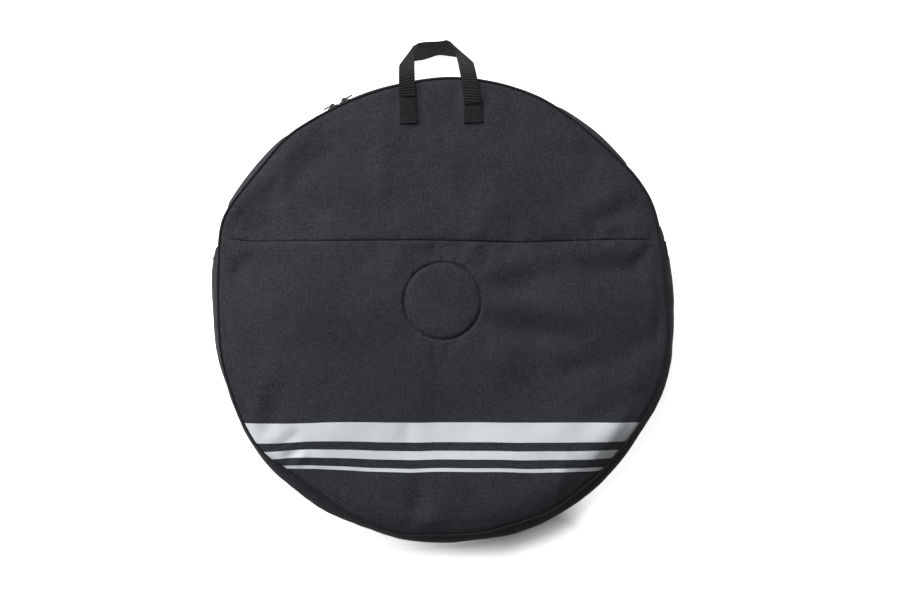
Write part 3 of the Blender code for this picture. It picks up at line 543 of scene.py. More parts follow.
def flat_disc(fine):
    """A bmesh disc, doubled: its points' z is 1 on the outer side and 0 on the inner one."""
    hub, rim = (HUB_RINGS, RIM_RINGS) if fine else (HUB_RINGS[1::3], RIM_RINGS[1::2])
    rings = np.array([*hub, *OPEN_RINGS, *rim]) * MM
    columns = COVER_COLUMNS if fine else LINING_COLUMNS
    angles = circle(columns)
    shift = HUB_RISE * fading(rings, RING_SHIFT_START, RING_SHIFT_RUN)
    x, y = polar(rings[:, None], angles)
    y += shift[:, None]
    bm = bmesh.new()
    sides = []
    for side in (1.0, 0.0):
        centre = bm.verts.new((0, HUB_RISE, side))
        grid = [[bm.verts.new((a, b, side)) for a, b in zip(*row)] for row in zip(x, y)]
        sides.append(grid)
        for c in range(columns):
            d = (c + 1) % columns
            fan = [centre, grid[0][c], grid[0][d]]
            bm.faces.new(fan if side else fan[::-1])
            for inner, outer in zip(grid, grid[1:]):
                quad = [inner[c], outer[c], outer[d], inner[d]]
                bm.faces.new(quad if side else quad[::-1])
    top, bottom = sides[0][-1], sides[1][-1]
    for c in range(columns):
        d = (c + 1) % columns
        bm.faces.new([top[c], bottom[c], bottom[d], top[d]])
    return bm


def cut_along_fold(bm, offsets):
    """Adds straight rows of points beside the fold seam."""
    for offset in offsets:
        bmesh.ops.bisect_plane(
            bm,
            geom=[*bm.verts, *bm.edges, *bm.faces],
            dist=CUT_SNAP,
            plane_co=(0, FOLD_HEIGHT + offset, 0),
            plane_no=(0, 1, 0),
        )


def fold_wave(x):
    """How far the fold seam strays from its straight line."""
    line_x, line_y = at_pixel(*np.array(FOLD_LINE_PIXELS, float).T)
    knots = np.arange(line_x[0], line_x[-1], WAVE_PITCH)
    wave = np.pad(np.interp(knots, line_x, line_y) - FOLD_HEIGHT, WAVE_SMOOTHING // 2, "edge")
    return np.interp(x, knots, averaged(wave, np.hanning(WAVE_SMOOTHING)))


def laid_out(x, y, front):
    """A flat panel's point on the bag, whose rim isn't quite round and whose fold isn't straight."""
    reach = np.hypot(x, y) / PANEL_RADIUS
    scale = 1 + (seam_scale(np.arctan2(y, x), 1.0 if front else 0.0) - 1) * reach**3
    across, up = x * scale, y * scale
    if front:
        beside_fold = swell(y - FOLD_HEIGHT, 1, WAVE_REACH)
        up = up + fold_wave(x) * beside_fold * fading(np.abs(x), WAVE_END, WAVE_END_RUN)
    return across, up


def settled(x, y):
    """How far the loose cloth lies above or below its drawn folds."""
    column, row = (np.clip((a + PANEL_RADIUS) / SETTLED_PITCH, 0, len(SETTLED) - 1.001) for a in (x, y))
    c, r = np.floor(column).astype(int), np.floor(row).astype(int)
    across, up = column - c, row - r
    low = SETTLED[r, c] * (1 - across) + SETTLED[r, c + 1] * across
    high = SETTLED[r + 1, c] * (1 - across) + SETTLED[r + 1, c + 1] * across
    return low * (1 - up) + high * up


def settle_front():
    """Cloth simulation of the front face between its seams, with a little cloth to spare."""
    line = np.arange(len(SETTLED)) * SETTLED_PITCH - PANEL_RADIUS
    x, y = np.meshgrid(line, line)
    radius = np.hypot(x, y)
    inside = radius < PANEL_RADIUS
    index = np.full(x.shape, -1)
    index[inside] = np.arange(inside.sum())
    mesh = bpy.data.meshes.new("settling")
    corners = np.stack([index[:-1, :-1], index[:-1, 1:], index[1:, 1:], index[1:, :-1]], 2).reshape(-1, 4)
    corners = corners[corners.min(1) >= 0]
    points = stacked(x, y, front_base(x, y))[inside]
    mesh.from_pydata(points.tolist(), [], corners.tolist())
    sheet = placed("settling", mesh)
    held = (radius > SETTLE_RIM) | (np.abs(y - FOLD_HEIGHT) < SETTLE_SEAM)
    held |= np.hypot(x, y - HUB_RISE) < HUB_RADIUS + SETTLED_PITCH / 2
    held |= (np.abs(x) < SEWN_HALF_WIDTH) & (y > SEWN_FROM)
    sheet.vertex_groups.new(name="held").add(index[held & inside].tolist(), 1.0, "REPLACE")
    modifier = sheet.modifiers.new("settle", "CLOTH")
    for name, value in SETTLE.items():
        setattr(modifier.settings, name, value)
    modifier.settings.effector_weights.gravity = 0
    modifier.collision_settings.use_collision = False
    modifier.point_cache.frame_start, modifier.point_cache.frame_end = 1, SETTLE_FRAMES
    for moment in range(1, SETTLE_FRAMES + 1):
        SCENE.frame_set(moment)
    result = sheet.evaluated_get(bpy.context.evaluated_depsgraph_get()).to_mesh()
    after = np.empty(len(points) * 3, np.float32)
    result.vertices.foreach_get("co", after)
    moved = after.reshape(-1, 3)[:, 2] - points[:, 2]
    sheet.to_mesh_clear()
    SCENE.frame_set(1)
    bpy.data.objects.remove(sheet)
    SETTLED[inside] = SETTLE_LIMIT * np.tanh(moved / SETTLE_LIMIT)


def rolled(x, y):
    """0 on the flat of a panel, 1 at its rim."""
    return np.clip((np.hypot(x, y) - FLAT_RADIUS) / (PANEL_RADIUS - FLAT_RADIUS), 0, 1)


def shoulder(x, y):
    """0 but for the last bit before the rim, where it grows to 1."""
    return np.clip((np.hypot(x, y) - PANEL_RADIUS + SHOULDER_RUN) / SHOULDER_RUN, 0, 1) ** 2


def front_base(x, y):
    """Height of the front face without its seams."""
    radius, angle = np.hypot(x, y), np.arctan2(y, x)
    z = BAG_DEPTH + CROWN * (1 - (radius / PANEL_RADIUS) ** 2) - FRONT_ROLL_DROP * rolled(x, y) ** 2
    for direction, spread, width, drop in SLOPES:
        inward = np.clip((radius - PANEL_RADIUS + width) / width, 0, 1)
        z -= drop * bump(angle, direction, spread) * eased(below_fold(angle) / SLOPE_FADE) * inward**1.8
    calm = fading(np.hypot(x, y - HUB_RISE), CALM_HUB, CALM_HUB_RUN)
    fade = fading(radius, DENTS_END, DENTS_END_RUN) * (1 - (1 - CALM_HUB_SHARE) * calm)
    for px, py, direction, length, width, height in DENTS:
        cx, cy = at_pixel(px, py)
        turn = direction * DEGREE
        along = (x - cx) * math.cos(turn) + (y - cy) * math.sin(turn)
        off = (y - cy) * math.cos(turn) - (x - cx) * math.sin(turn)
        off_share = (along / (length * PIXEL)) ** 2 + (off / (width * PIXEL)) ** 2
        z += height * MM * np.exp(-0.5 * off_share) * fade
    for sizes in FRONT_RIPPLES:
        z += ripple(x, y, *sizes) * fade
    return z + settled(x, y)


def front_seams(x, y):
    """Grooves of the stitched ring, the fold seam and the rim's shoulder, and the ring's raised middle."""
    from_hub = np.hypot(x, y - HUB_RISE)
    off = y - FOLD_HEIGHT
    z = swell(from_hub - HUB_RADIUS, *HUB_GROOVE)
    z += HUB_MOUND * (1 - np.minimum(from_hub / HUB_RADIUS, 1) ** 5)
    z += swell(off, *FOLD_GROOVE) * fading(np.abs(x), FOLD_END, FOLD_END_RUN)
    return z + swell(off + FOLD_RIDGE_OFFSET, *FOLD_RIDGE) - FRONT_SHOULDER * shoulder(x, y)


def back_base(x, y):
    """Height of the back face, which lies on the ground."""
    uneven = BACK_RIPPLE[0] + ripple(x, y, *BACK_RIPPLE)
    return uneven * (1 - rolled(x, y)) + ROLL_DROP * rolled(x, y) ** 2


def back_seams(x, y):
    from_hub = np.hypot(x, y - HUB_RISE)
    return swell(from_hub - HUB_RADIUS, *BACK_HUB_RIDGE) + BACK_SHOULDER * shoulder(x, y)


def padded_thickness(x, y):
    return PADDED_THICKNESS + (RIM_PADDED_THICKNESS - PADDED_THICKNESS) * rolled(x, y)


FACES = {True: (front_base, front_seams), False: (back_base, back_seams)}


def on_face(x, y, front):
    """Points of a panel's outer side."""
    return stacked(*laid_out(x, y, front), sum(form(x, y) for form in FACES[front]))


def panel_piece(name, front, fine, material):
    """A padded cover (fine) or a lining of the front or the back."""
    bm = flat_disc(fine)
    if front:
        seam_rows = COVER_SEAM_ROWS if fine else LINING_SEAM_ROWS
        cut_along_fold(bm, [offset * MM for offset in (*seam_rows, *BENT_ROWS)])
    flat = np.array([v.co for v in bm.verts])
    x, y, outer = flat[:, 0], flat[:, 1], flat[:, 2] > 0.5
    sign = -1 if front else 1
    base, seams = (form(x, y) for form in FACES[front])
    if fine:
        z = np.where(outer, base + seams, base + sign * padded_thickness(x, y))
    else:
        inside = base + sign * (padded_thickness(x, y) + LINING_GAP)
        z = np.where(outer, inside, inside + sign * LINING_THICKNESS)
    across, up = laid_out(x, y, front)
    bm.verts.ensure_lookup_table()
    for vert, px, py, pz in zip(bm.verts, across, up, z):
        vert.co = (px, py, pz)
    return finished(name, bpy.data.meshes.new(name), bm, material, stacked(x, y, 0))


def up_wall(height):
    """Share of the way up from the back's rim seam to the front's."""
    return (height - BACK_SEAM_HEIGHT) / (FRONT_SEAM_HEIGHT - BACK_SEAM_HEIGHT)


def zip_profile(angle, height):
    """The side's distance where the zip runs: on the chain's circle, and at both rims' seams."""
    radius = WALL_RADIUS + UPPER_BOW * arch(up_wall(height))
    to_front = np.clip((height - STRIP_EDGE) / (FRONT_SEAM_HEIGHT - STRIP_EDGE), 0, 1)
    low_edge = BAG_DEPTH - STRIP_EDGE
    to_back = np.clip((low_edge - height) / (low_edge - BACK_SEAM_HEIGHT), 0, 1)
    radius = radius + PIPING_RING_RADIUS * (seam_scale(angle) - 1) * to_front
    radius = radius + PIPING_RING_RADIUS * (seam_scale(angle, 0.0) - 1) * to_back
    seen = distance_at(OUTLINE, angle, STRIP_EDGE)
    uncovered = seen - distance_at(RIM, angle, STRIP_EDGE)
    flare = np.maximum(seen - WALL_RADIUS - UPPER_BOW, 0) * eased((uncovered - FLARE_START) / FLARE_RUN)
    rise = eased((height - TAPE_EDGE) / (STRIP_EDGE - TAPE_EDGE))
    return radius + flare * (1 - to_front) * rise


def wall_profile(angle, height):
    """The side's distance where the plain wall runs, which bulges."""
    share = up_wall(height)
    back, front = seam_scale(angle, 0.0), seam_scale(angle, 1.0)
    chord = WALL_RADIUS * (back + front) / 2
    full = np.maximum(distance_at(OUTLINE, angle, BAG_DEPTH / 2) - chord, UPPER_BOW)
    bow = UPPER_BOW + (full - UPPER_BOW) * eased(below_fold(angle) * WALL_RADIUS / BOW_RUN)
    return WALL_RADIUS * (back * (1 - share) + front * share) + bow * arch(share)


def wall_points(angles, heights, inset):
    """Points of the side wall, rows by height and columns by direction, this far inside its face."""
    angle, height = np.meshgrid(angles, heights)
    share = up_wall(height)
    plain = eased(below_fold(angle) / PROFILE_RUN)
    radius = zip_profile(angle, height) * (1 - plain) + wall_profile(angle, height) * plain - inset
    radius += plain * arch(share, 4) * ripple(angle * WALL_RADIUS, height * 2, *WALL_RIPPLE)
    return stacked(*polar(radius, angle), height - rim_drop(angle) * share), angle, height


def wall_piece(name, start, end, heights, material, slot, inset, thickness, step=1.0 * DEGREE):
    angles = np.linspace(start, end, max(3, round((end - start) / step) + 1))
    outer, angle, height = wall_points(angles, heights, inset)
    inner, _, _ = wall_points(angles, heights, inset + thickness)
    return sheet_solid(name, outer, inner, material, stacked(angle * WALL_RADIUS, height, 0))


def piping_piece(name, height, front):
    """The cloth-covered cord in a panel's rim seam."""
    angles, turns = circle(PIPING_COLUMNS), circle(PIPING_SIDES)[:, None]
    uneven, layer, wave = PIPING_RIPPLE
    along = angles * PIPING_RING_RADIUS
    out, up = polar(PIPING_RADIUS + ripple(along, 0, uneven, layer + height * 100, wave), turns)
    out += PIPING_RING_RADIUS * seam_scale(angles, front)
    up += height - (rim_drop(angles) if front else 0)
    points = stacked(*polar(out, angles), up)
    places = stacked(along, turns * PIPING_RADIUS, 0)
    faces = tube_faces(PIPING_SIDES, PIPING_COLUMNS)
    return new_piece(name, points, faces, PIPING_CLOTH_PAINTED_SHADE, places)


def stitches(name, starts, ends, normal, radius):
    """A row of thread stitches, each a small arch whose ends sink into the cloth."""
    starts, ends, normal = (np.asarray(a, float) for a in (starts, ends, normal))
    along = ends - starts
    side = np.cross(along, normal)
    side /= np.linalg.norm(side, axis=1)[:, None]
    points, faces = [], []
    for n in range(len(starts)):
        faces += strip_faces(STITCH_SECTIONS, STITCH_SIDES, len(points), wrap=True)
        first_end = len(points)
        for share in np.linspace(0, 1, STITCH_SECTIONS):
            up = math.sin(math.pi * share)
            centre = starts[n] + along[n] * share + normal * radius * (STITCH_RISE * up - STITCH_SUNK)
            size = radius * (STITCH_END + (1 - STITCH_END) * up)
            for turn in circle(STITCH_SIDES):
                points.append(centre + size * (math.cos(turn) * side[n] + math.sin(turn) * normal))
        faces.append(list(range(first_end, first_end + STITCH_SIDES))[::-1])
        faces.append(list(range(len(points) - STITCH_SIDES, len(points))))
    return new_piece(name, points, faces, THREAD, points)


def ring_stitches(name, front):
    """Thread round a hub patch."""
    rows = []
    for first in (0, STITCH_SHARE):
        x, y = polar(HUB_RADIUS, circle(RING_STITCHES) + first * TURN / RING_STITCHES)
        rows.append(on_face(x, HUB_RISE + y, front))
    return stitches(name, *rows, (0, 0, 1 if front else -1), RING_THREAD)


def fold_stitches():
    """Thread along the fold seam."""
    starts = np.arange(-FOLD_STITCH_REACH, FOLD_STITCH_REACH, FOLD_STITCH_PITCH)
    rows = []
    for x in (starts, starts + FOLD_STITCH_PITCH * FOLD_STITCH_SHARE):
        rows.append(on_face(x, np.full_like(x, FOLD_HEIGHT - FOLD_STITCH_INSET), True))
    return stitches("fold_stitches", *rows, FOLD_STITCH_NORMAL, FOLD_THREAD)


def copy_of_node(node_name, name, material):
    """A piece with the shape of a node that crosses the fold, so that it can bend there."""
    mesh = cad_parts[node_name].data.copy()
    mesh.materials.clear()
    mesh.materials.append(material)
    obj = placed(name, mesh)
    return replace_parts(obj, node_name)


def bend_at_fold(obj, cut=True):
    """Adds rows of points just past the fold, unless cut is off, and bakes the piece's placing into its
    points.
    """
    if cut:
        bm = bmesh.new()
        bm.from_mesh(obj.data)
        cut_along_fold(bm, np.arange(BEND_PITCH, BEND_RUN, BEND_PITCH))
        bmesh.ops.remove_doubles(bm, verts=bm.verts, dist=MERGE_SNAP)
        bm.to_mesh(obj.data)
        bm.free()
    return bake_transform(obj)


FLARE_START, FLARE_RUN = 0.4 * MM, 2.4 * MM  # of what the outline shows outside the front rim
WALL_LINING_EDGE = 8 * MM
FOLD_TAPE_THICKNESS = 0.6 * MM
PATCH_START, PATCH_END, PATCH_EDGE = 12 * DEGREE, 16.9 * DEGREE, 12.33 * MM
PIPING_COLUMNS, PIPING_SIDES = 480, 10
STITCH_SECTIONS, STITCH_SIDES = 6, 5
# How high a stitch stands and how deep its ends sink, in radii of the thread, and its ends' thickness
STITCH_RISE, STITCH_SUNK, STITCH_END = 1.1, 0.9, 0.45
RING_STITCHES, STITCH_SHARE, RING_THREAD = 112, 0.72, 0.42 * MM
FOLD_STITCH_REACH, FOLD_STITCH_PITCH, FOLD_STITCH_SHARE = 334 * MM, 4.4 * MM, 0.7
FOLD_STITCH_INSET, FOLD_THREAD = 2.6 * MM, 0.38 * MM
FOLD_STITCH_NORMAL = (0, 0.25, 0.97)

# Cloth simulation

SETTLED_PITCH = 7.4 * MM
SETTLED = np.zeros((101, 101))
SETTLE = {
    "quality": 6,
    "mass": 0.2,
    "tension_stiffness": 20,
    "compression_stiffness": 20,
    "shear_stiffness": 8,
    "bending_stiffness": 1.0,
    "vertex_group_mass": "held",
    "shrink_min": -0.012,  # cloth to spare, as a share of its length
    "use_pressure": True,
    "uniform_pressure_force": 0.6,
}
SETTLE_FRAMES = 20
SETTLE_LIMIT = 1.6 * MM
# Held still besides the hub: the rim, the fold's seam, and round the handle's sewn ends
SETTLE_RIM = 350 * MM
SETTLE_SEAM = 0.6 * SETTLED_PITCH
SEWN_HALF_WIDTH, SEWN_FROM = 60 * MM, 280 * MM
settle_front()

# Panels

front_cover = panel_piece("front_cover", True, True, PRINTED_CLOTH)
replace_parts(front_cover, "front_panel_shell", "front_panel_foam", "flap_shell", "flap_foam")
bend_at_fold(front_cover, cut=False)

front_inner = panel_piece("front_inner_lining", True, False, LINING_CLOTH)
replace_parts(front_inner, "front_panel_lining", "flap_lining")
bend_at_fold(front_inner, cut=False)

back_cover = panel_piece("back_cover", False, True, BAG_CLOTH)
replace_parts(back_cover, "back_panel_shell", "back_panel_foam")
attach(back_cover, "bag_body")

back_inner = panel_piece("back_inner_lining", False, False, LINING_CLOTH)
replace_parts(back_inner, "back_panel_lining")
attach(back_inner, "bag_body")

for ring_name, is_front in (("front_hub_stitches", True), ("back_hub_stitches", False)):
    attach(ring_stitches(ring_name, is_front), "bag_body")
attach(fold_stitches(), "bag_body")

# Rim seams and side wall

front_piping = piping_piece("front_piping_cord", BAG_DEPTH - PIPING_DEPTH, 1.0)
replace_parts(front_piping, "front_piping", "flap_piping")
bend_at_fold(front_piping)
back_piping = piping_piece("back_piping_cord", PIPING_DEPTH, 0.0)
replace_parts(back_piping, "back_piping")
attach(back_piping, "bag_body")

side_wall = wall_piece(
    "side_wall",
    math.pi - WALL_END_ANGLE,
    TURN + WALL_END_ANGLE,
    np.linspace(BACK_SEAM_HEIGHT, FRONT_SEAM_HEIGHT, 19),
    BAG_CLOTH,
    "bag_fabric",
    inset=0.2 * MM,
    thickness=WALL_THICKNESS,
    step=0.6 * DEGREE,
)
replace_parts(side_wall, "gusset")
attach(side_wall, "bag_body")

side_lining = wall_piece(
    "side_wall_lining",
    math.pi - GUSSET_END_ANGLE,
    TURN + GUSSET_END_ANGLE,
    np.linspace(WALL_LINING_EDGE, BAG_DEPTH - WALL_LINING_EDGE, 9),
    LINING_CLOTH,
    "lining_fabric",
    inset=2.6 * MM,
    thickness=LINING_THICKNESS,
    step=1.2 * DEGREE,
)
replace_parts(side_lining, "gusset_lining")
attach(side_lining, "bag_body")

ZIP_ROWS = {
    "back": ((6, 6.6, 8, 10, 12, 13.6, 14.6, 15.2, 15.5), (9.5, 13, 16.5, 20.2)),
    "front": ((34.5, 34.8, 35.4, 36.4, 38, 40, 42, 43.4, 44), (29.8, 33.5, 37, 40.5)),
}
ZIP_CLOTHS = (  # with the slot, how far inside the wall's face it lies, and its thickness
    ("strip", BAG_CLOTH, "bag_fabric", 0, WALL_THICKNESS),
    ("tape", ZIP_CLOTH, "zip_tape", 1.5 * MM, 0.8 * MM),
)
for side, heights in ZIP_ROWS.items():
    for rows, (part, *finish) in zip(heights, ZIP_CLOTHS):
        ends = (ZIP_END_ANGLE, math.pi - ZIP_END_ANGLE)
        piece = wall_piece(f"zip_{part}_cloth_{side}", *ends, np.array(rows) * MM, *finish)
        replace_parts(piece, f"zip_{part}_{side}")
        if side == "front":
            bend_at_fold(piece)
        else:
            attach(piece, "bag_body")

for node_name, name, material, slot in (
    ("zip_teeth_front", "zip_tooth_row_front", TOOTH_PLASTIC, "zip_plastic"),
    ("zip_stop_front_left", "zip_end_stop_front_left", DARK_METAL, "slider_metal"),
    ("zip_stop_front_right", "zip_end_stop_front_right", DARK_METAL, "slider_metal"),
):
    bend_at_fold(copy_of_node(node_name, name, material))


def slider_web(hand, angle):
    """Solid lug inside a slider's bridge, with a hole for the pull's pin."""
    turns = circle(WEB_SIDES)
    reach = np.zeros(WEB_SIDES)
    for step in WEB_STEPS:
        for _ in range(4):
            trial = reach + step
            along, up = polar(trial, turns)
            up += PIN_DROP
            within = (up >= 0) & ((along / WEB_HALF_LENGTH) ** 2 + (up / WEB_HEIGHT) ** 2 <= 1)
            reach = np.where(within, trial, reach)
    rings = []
    for distance, side in ((WEB_HOLE, -1), (reach, -1), (reach, 1), (WEB_HOLE, 1)):
        along, out = polar(distance, turns)
        out += CHAIN_RADIUS + PIN_LIFT
        x = out * math.cos(angle) - along * math.sin(angle)
        y = out * math.sin(angle) + along * math.cos(angle)
        rings.append(stacked(x, y, (BAG_DEPTH + side * WEB_THICKNESS) / 2))
    faces = tube_faces(len(rings), WEB_SIDES)
    web = new_piece(f"slider_lug_{hand}", rings, faces, DARK_METAL, sharp=30)
    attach(web, f"slider_{hand}")


CHAIN_RADIUS = 372.55 * MM
PIN_LIFT, PIN_DROP = 5.9 * MM, 2.4 * MM
WEB_HALF_LENGTH, WEB_HEIGHT, WEB_THICKNESS, WEB_HOLE = 3.9 * MM, 4.2 * MM, 2.2 * MM, 0.85 * MM
WEB_SIDES = 32
WEB_STEPS = (0.002, 0.001, 0.0005, 0.00025, 0.0001, 0.00005)  # finer and finer, out to the lug's edge
slider_web("left", 118.6 * DEGREE)
slider_web("right", 115.4 * DEGREE)

for hand, start, end in (
    ("right", PATCH_START, PATCH_END),
    ("left", math.pi - PATCH_END, math.pi - PATCH_START),
):
    tab = wall_piece(
        f"zip_end_patch_{hand}",
        start,
        end,
        np.linspace(PATCH_EDGE, BAG_DEPTH - PATCH_EDGE, 9),
        BAG_CLOTH,
        "bag_fabric",
        inset=-1 * MM,
        thickness=0.9 * MM,
        step=0.4 * DEGREE,
    )
    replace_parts(tab, f"zip_end_tab_{hand}")
    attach(tab, "bag_body")

# Tape behind the fold

tape_low, tape_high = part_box("fold_tape")
tape_x = np.linspace(tape_low.x, tape_high.x, 200)
tape_x, tape_y = np.meshgrid(tape_x, np.linspace(tape_low.y, tape_high.y, 9))
tape_top = front_base(tape_x, tape_y) - padded_thickness(tape_x, tape_y) - LINING_GAP - LINING_THICKNESS - GAP
fold_tape = sheet_solid(
    "fold_binding",
    stacked(*laid_out(tape_x, tape_y, True), tape_top),
    stacked(*laid_out(tape_x, tape_y, True), tape_top - FOLD_TAPE_THICKNESS),
    ZIP_CLOTH,
    stacked(tape_x, tape_y, 0),
)
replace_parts(fold_tape, "fold_tape")
bend_at_fold(fold_tape, cut=False)

# Handle

# The webbing's two edges by the photograph's pixels, in pairs across it: each leg from its sewn end
# to the fold in the webbing, then the cross bar behind both
LEFT_LEG = (
    ((398.9, 96.5), (415.7, 96.3)), ((398.8, 86), (415, 83)), ((398.8, 74), (414.6, 67)),
    ((398.9, 67.5), (414.4, 52)), ((399.2, 65), (414.2, 44.6)),
)
RIGHT_LEG = (
    ((464.8, 104.6), (481, 106.2)), ((462.4, 91), (479.6, 92)), ((460.8, 78), (477.4, 78)),
    ((457.8, 62), (475.4, 69)), ((454.6, 50), (474.1, 64)), ((449.4, 40.6), (473.3, 62)),
)
CROSS_BAR = (
    ((414.4, 45.1), (399.6, 64.6)), ((416.5, 44.4), (407, 62.2)), ((420, 43.4), (415.2, 60.7)),
    ((425.1, 42.7), (422.1, 59.8)), ((431, 42.4), (429, 57.9)), ((436, 42.3), (435.9, 55.3)),
    ((440.4, 42), (440.4, 54.7)), ((444, 41.3), (448.9, 55.7)), ((446.5, 40.8), (457, 56.8)),
    ((448, 40.6), (466, 59)), ((449, 40.6), (472.8, 61.8)),
)


def webbing_level(y, start, hump):
    """Height of the webbing's underside: a hump past its sewn end, then down to the ground."""
    face = BAG_DEPTH + GAP
    down = eased((y - PIPING_RING_RADIUS) / (HANDLE_REACH - PIPING_RING_RADIUS))
    past = np.maximum(y - start, 0)
    hump = hump * (1 - np.exp(-past / HUMP_RISE)) * np.exp(-past / HUMP_FALL)
    return face - (face - WEBBING_REST) * down + hump


def along_edges(pairs, rows, start, hump):
    """Points of the webbing's two edges, in metres, at the webbing's own height."""
    pairs = np.array(pairs, float)
    run = run_along(*pairs.mean(1).T)
    dense = np.linspace(0, run[-1], EDGE_SAMPLES)
    half = EDGE_SMOOTHING // 2
    edges = []
    for edge in pairs.transpose(1, 0, 2):
        lines = []
        for n in (0, 1):
            line = np.interp(dense, run, edge[:, n])
            before = 2 * line[0] - line[half:0:-1]
            after = 2 * line[-1] - line[-2 : -half - 2 : -1]
            line = averaged(np.concatenate([before, line, after]), np.hanning(EDGE_SMOOTHING))
            lines.append(np.interp(np.linspace(0, run[-1], rows), dense, line))
        height = np.full(rows, BAG_DEPTH)
        for _ in range(5):
            x, y = at_pixel(*lines, height)
            height = webbing_level(y, start, hump)
        edges.append((x, y))
    return edges


def webbing_piece(name, edges, rows, ribs, start=0, hump=0, drop=0, lean=0, material=WEBBING_CLOTH):
    """A length of webbing between two edges, with crosswise ribs that fade out along it."""
    across = np.linspace(0, 1, WEBBING_COLUMNS)
    sides = zip(*along_edges(edges, rows, start, hump))
    x, y = (a[:, None] * (1 - across) + b[:, None] * across for a, b in sides)
    run = run_along(x.mean(1), y.mean(1))[:, None]
    ribs = ribs * np.sin(TURN * run / RIB_PITCH) * (RIBS_LEFT + swell(run, 1 - RIBS_LEFT, RIBS_RUN))
    edge_round = EDGE_ROUND * (np.abs(2 * across - 1) ** 6)
    middle = eased(np.minimum(run, run[-1] - run) / ENDS_RUN)
    sunk = drop * (ENDS_SUNK + (1 - ENDS_SUNK) * middle)
    low = webbing_level(y, start, hump) - sunk + lean * middle * (1 - across)
    top = low + WEBBING_THICKNESS + ribs - edge_round
    low = np.maximum(low + ribs * UNDER_RIBS + edge_round * UNDER_ROUND, GAP)
    places = stacked(across * WEBBING_WIDTH, run, 0)
    return sheet_solid(name, stacked(x, y, top), stacked(x, y, low), material, places)


WEBBING_COLUMNS = 13
WEBBING_WIDTH, TAB_WIDTH = 26 * MM, 29 * MM  # on the flat cloth
WEBBING_REST = 0.5 * MM + WEBBING_THICKNESS  # height of its underside on the ground
HUMP_RISE, HUMP_FALL = 1.3 * MM, 17 * MM
EDGE_SAMPLES, EDGE_SMOOTHING = 300, 31
EDGE_ROUND = 0.5 * MM
UNDER_RIBS, UNDER_ROUND = 0.7, 0.6  # the underside's share of the ribs and of the rounded edges
RIB_PITCH = 4.7 * MM
RIBS_LEFT, RIBS_RUN = 0.12, 40 * MM  # what is left of the ribs away from the sewn end
ENDS_RUN, ENDS_SUNK = 16 * MM, 0.45  # the bar sinks and leans less at its ends
left_leg = webbing_piece(
    "handle_leg_left", LEFT_LEG, rows=130, ribs=0.9 * MM, start=HANDLE_SEAM - 1 * MM, hump=4.5 * MM
)
right_leg = webbing_piece(
    "handle_leg_right", RIGHT_LEG, rows=130, ribs=0.9 * MM, start=330 * MM, hump=7.5 * MM
)
# The cross bar's darker webbing is painted shade
cross_bar = webbing_piece(
    "handle_cross_bar", CROSS_BAR, rows=80, ribs=0.35 * MM, drop=4.5 * MM, lean=11 * MM, material=WEBBING_PAINTED_SHADE
)
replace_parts(cross_bar, "handle_webbing")
for piece in (left_leg, right_leg):
    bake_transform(piece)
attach(cross_bar, "handle")

# Corners of the sewn ends by pixel: top left, top right, bottom right, bottom left
SEWN_ENDS = {
    "left": ((399.2, 98.0), (415.6, 98.0), (417.7, 122.9), (400.0, 124.1)),
    "right": ((464.2, 98.0), (482.0, 98.0), (482.8, 122.4), (464.0, 123.0)),
}


def sewn_end(hand, corners):
    """The doubled end of the webbing, sewn flat on the flap."""
    top_left, top_right, bottom_right, bottom_left = (np.array(at_pixel(*c)) for c in corners)
    up = np.linspace(0, 1, TAB_ROWS)[:, None, None]
    across = np.linspace(0, 1, WEBBING_COLUMNS)[None, :, None]
    low = bottom_left * (1 - across) + bottom_right * across
    high = top_left * (1 - across) + top_right * across
    x, y = np.moveaxis(low * (1 - up) + high * up, 2, 0)
    y = np.minimum(y, HANDLE_SEAM)
    across = across[..., 0]
    run = up[..., 0] * np.linalg.norm(top_left - bottom_left)
    base = BAG_DEPTH + GAP
    end = np.minimum(run / TAB_END_RUN, 1)
    ribs = TAB_RIBS * np.sin(TURN * run / TAB_RIB_PITCH) + swell(run - TAB_SEAM, *TAB_GROOVE)
    top = base + TAB_THICKNESS + ribs - TAB_ROUND * (np.abs(2 * across - 1) ** 8 + (1 - end) ** 2)
    places = stacked(across * TAB_WIDTH, run, 0)
    outer, name = stacked(x, y, top), f"handle_sewn_end_{hand}"
    piece = sheet_solid(name, outer, stacked(x, y, base), WEBBING_CLOTH, places)
    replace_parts(piece, f"handle_tab_{hand}")
    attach(piece, "front_flap")
    seam = [outer[row, column] for row, column in TAB_SEAM_CORNERS]
    starts, ends = [], []
    for a, b in zip(seam, seam[1:]):
        count = max(1, round(float(np.linalg.norm(b - a)) / TAB_STITCH_PITCH))
        for n in range(count):
            starts.append(a + (b - a) * n / count)
            ends.append(a + (b - a) * (n + STITCH_SHARE) / count)
    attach(stitches(f"handle_stitches_{hand}", starts, ends, (0, 0, 1), TAB_THREAD), "front_flap")


TAB_END_RUN, TAB_ROUND = 1.6 * MM, 0.7 * MM
TAB_RIBS, TAB_RIB_PITCH = 0.45 * MM, 3.7 * MM
TAB_ROWS = 44
TAB_SEAM_CORNERS = ((3, 1), (3, -2), (-4, -2), (-4, 1), (3, 1))  # row and column of the sewn end's points
TAB_SEAM = 4 * MM
TAB_GROOVE = (-0.5 * MM, 0.9 * MM)
TAB_STITCH_PITCH, TAB_THREAD = 3.4 * MM, 0.4 * MM

for hand, corners in SEWN_ENDS.items():
    sewn_end(hand, corners)

# Finish of the nodes that stay

for node_name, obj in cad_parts.items():
    if obj.hide_render:
        continue
    if "hub_plate" in node_name:
        finish = PLATE_PLASTIC
    else:
        finish = TOOTH_PLASTIC if "teeth" in node_name else DARK_METAL
    obj.data.materials.clear()
    obj.data.materials.append(finish)

# Ground, light and camera


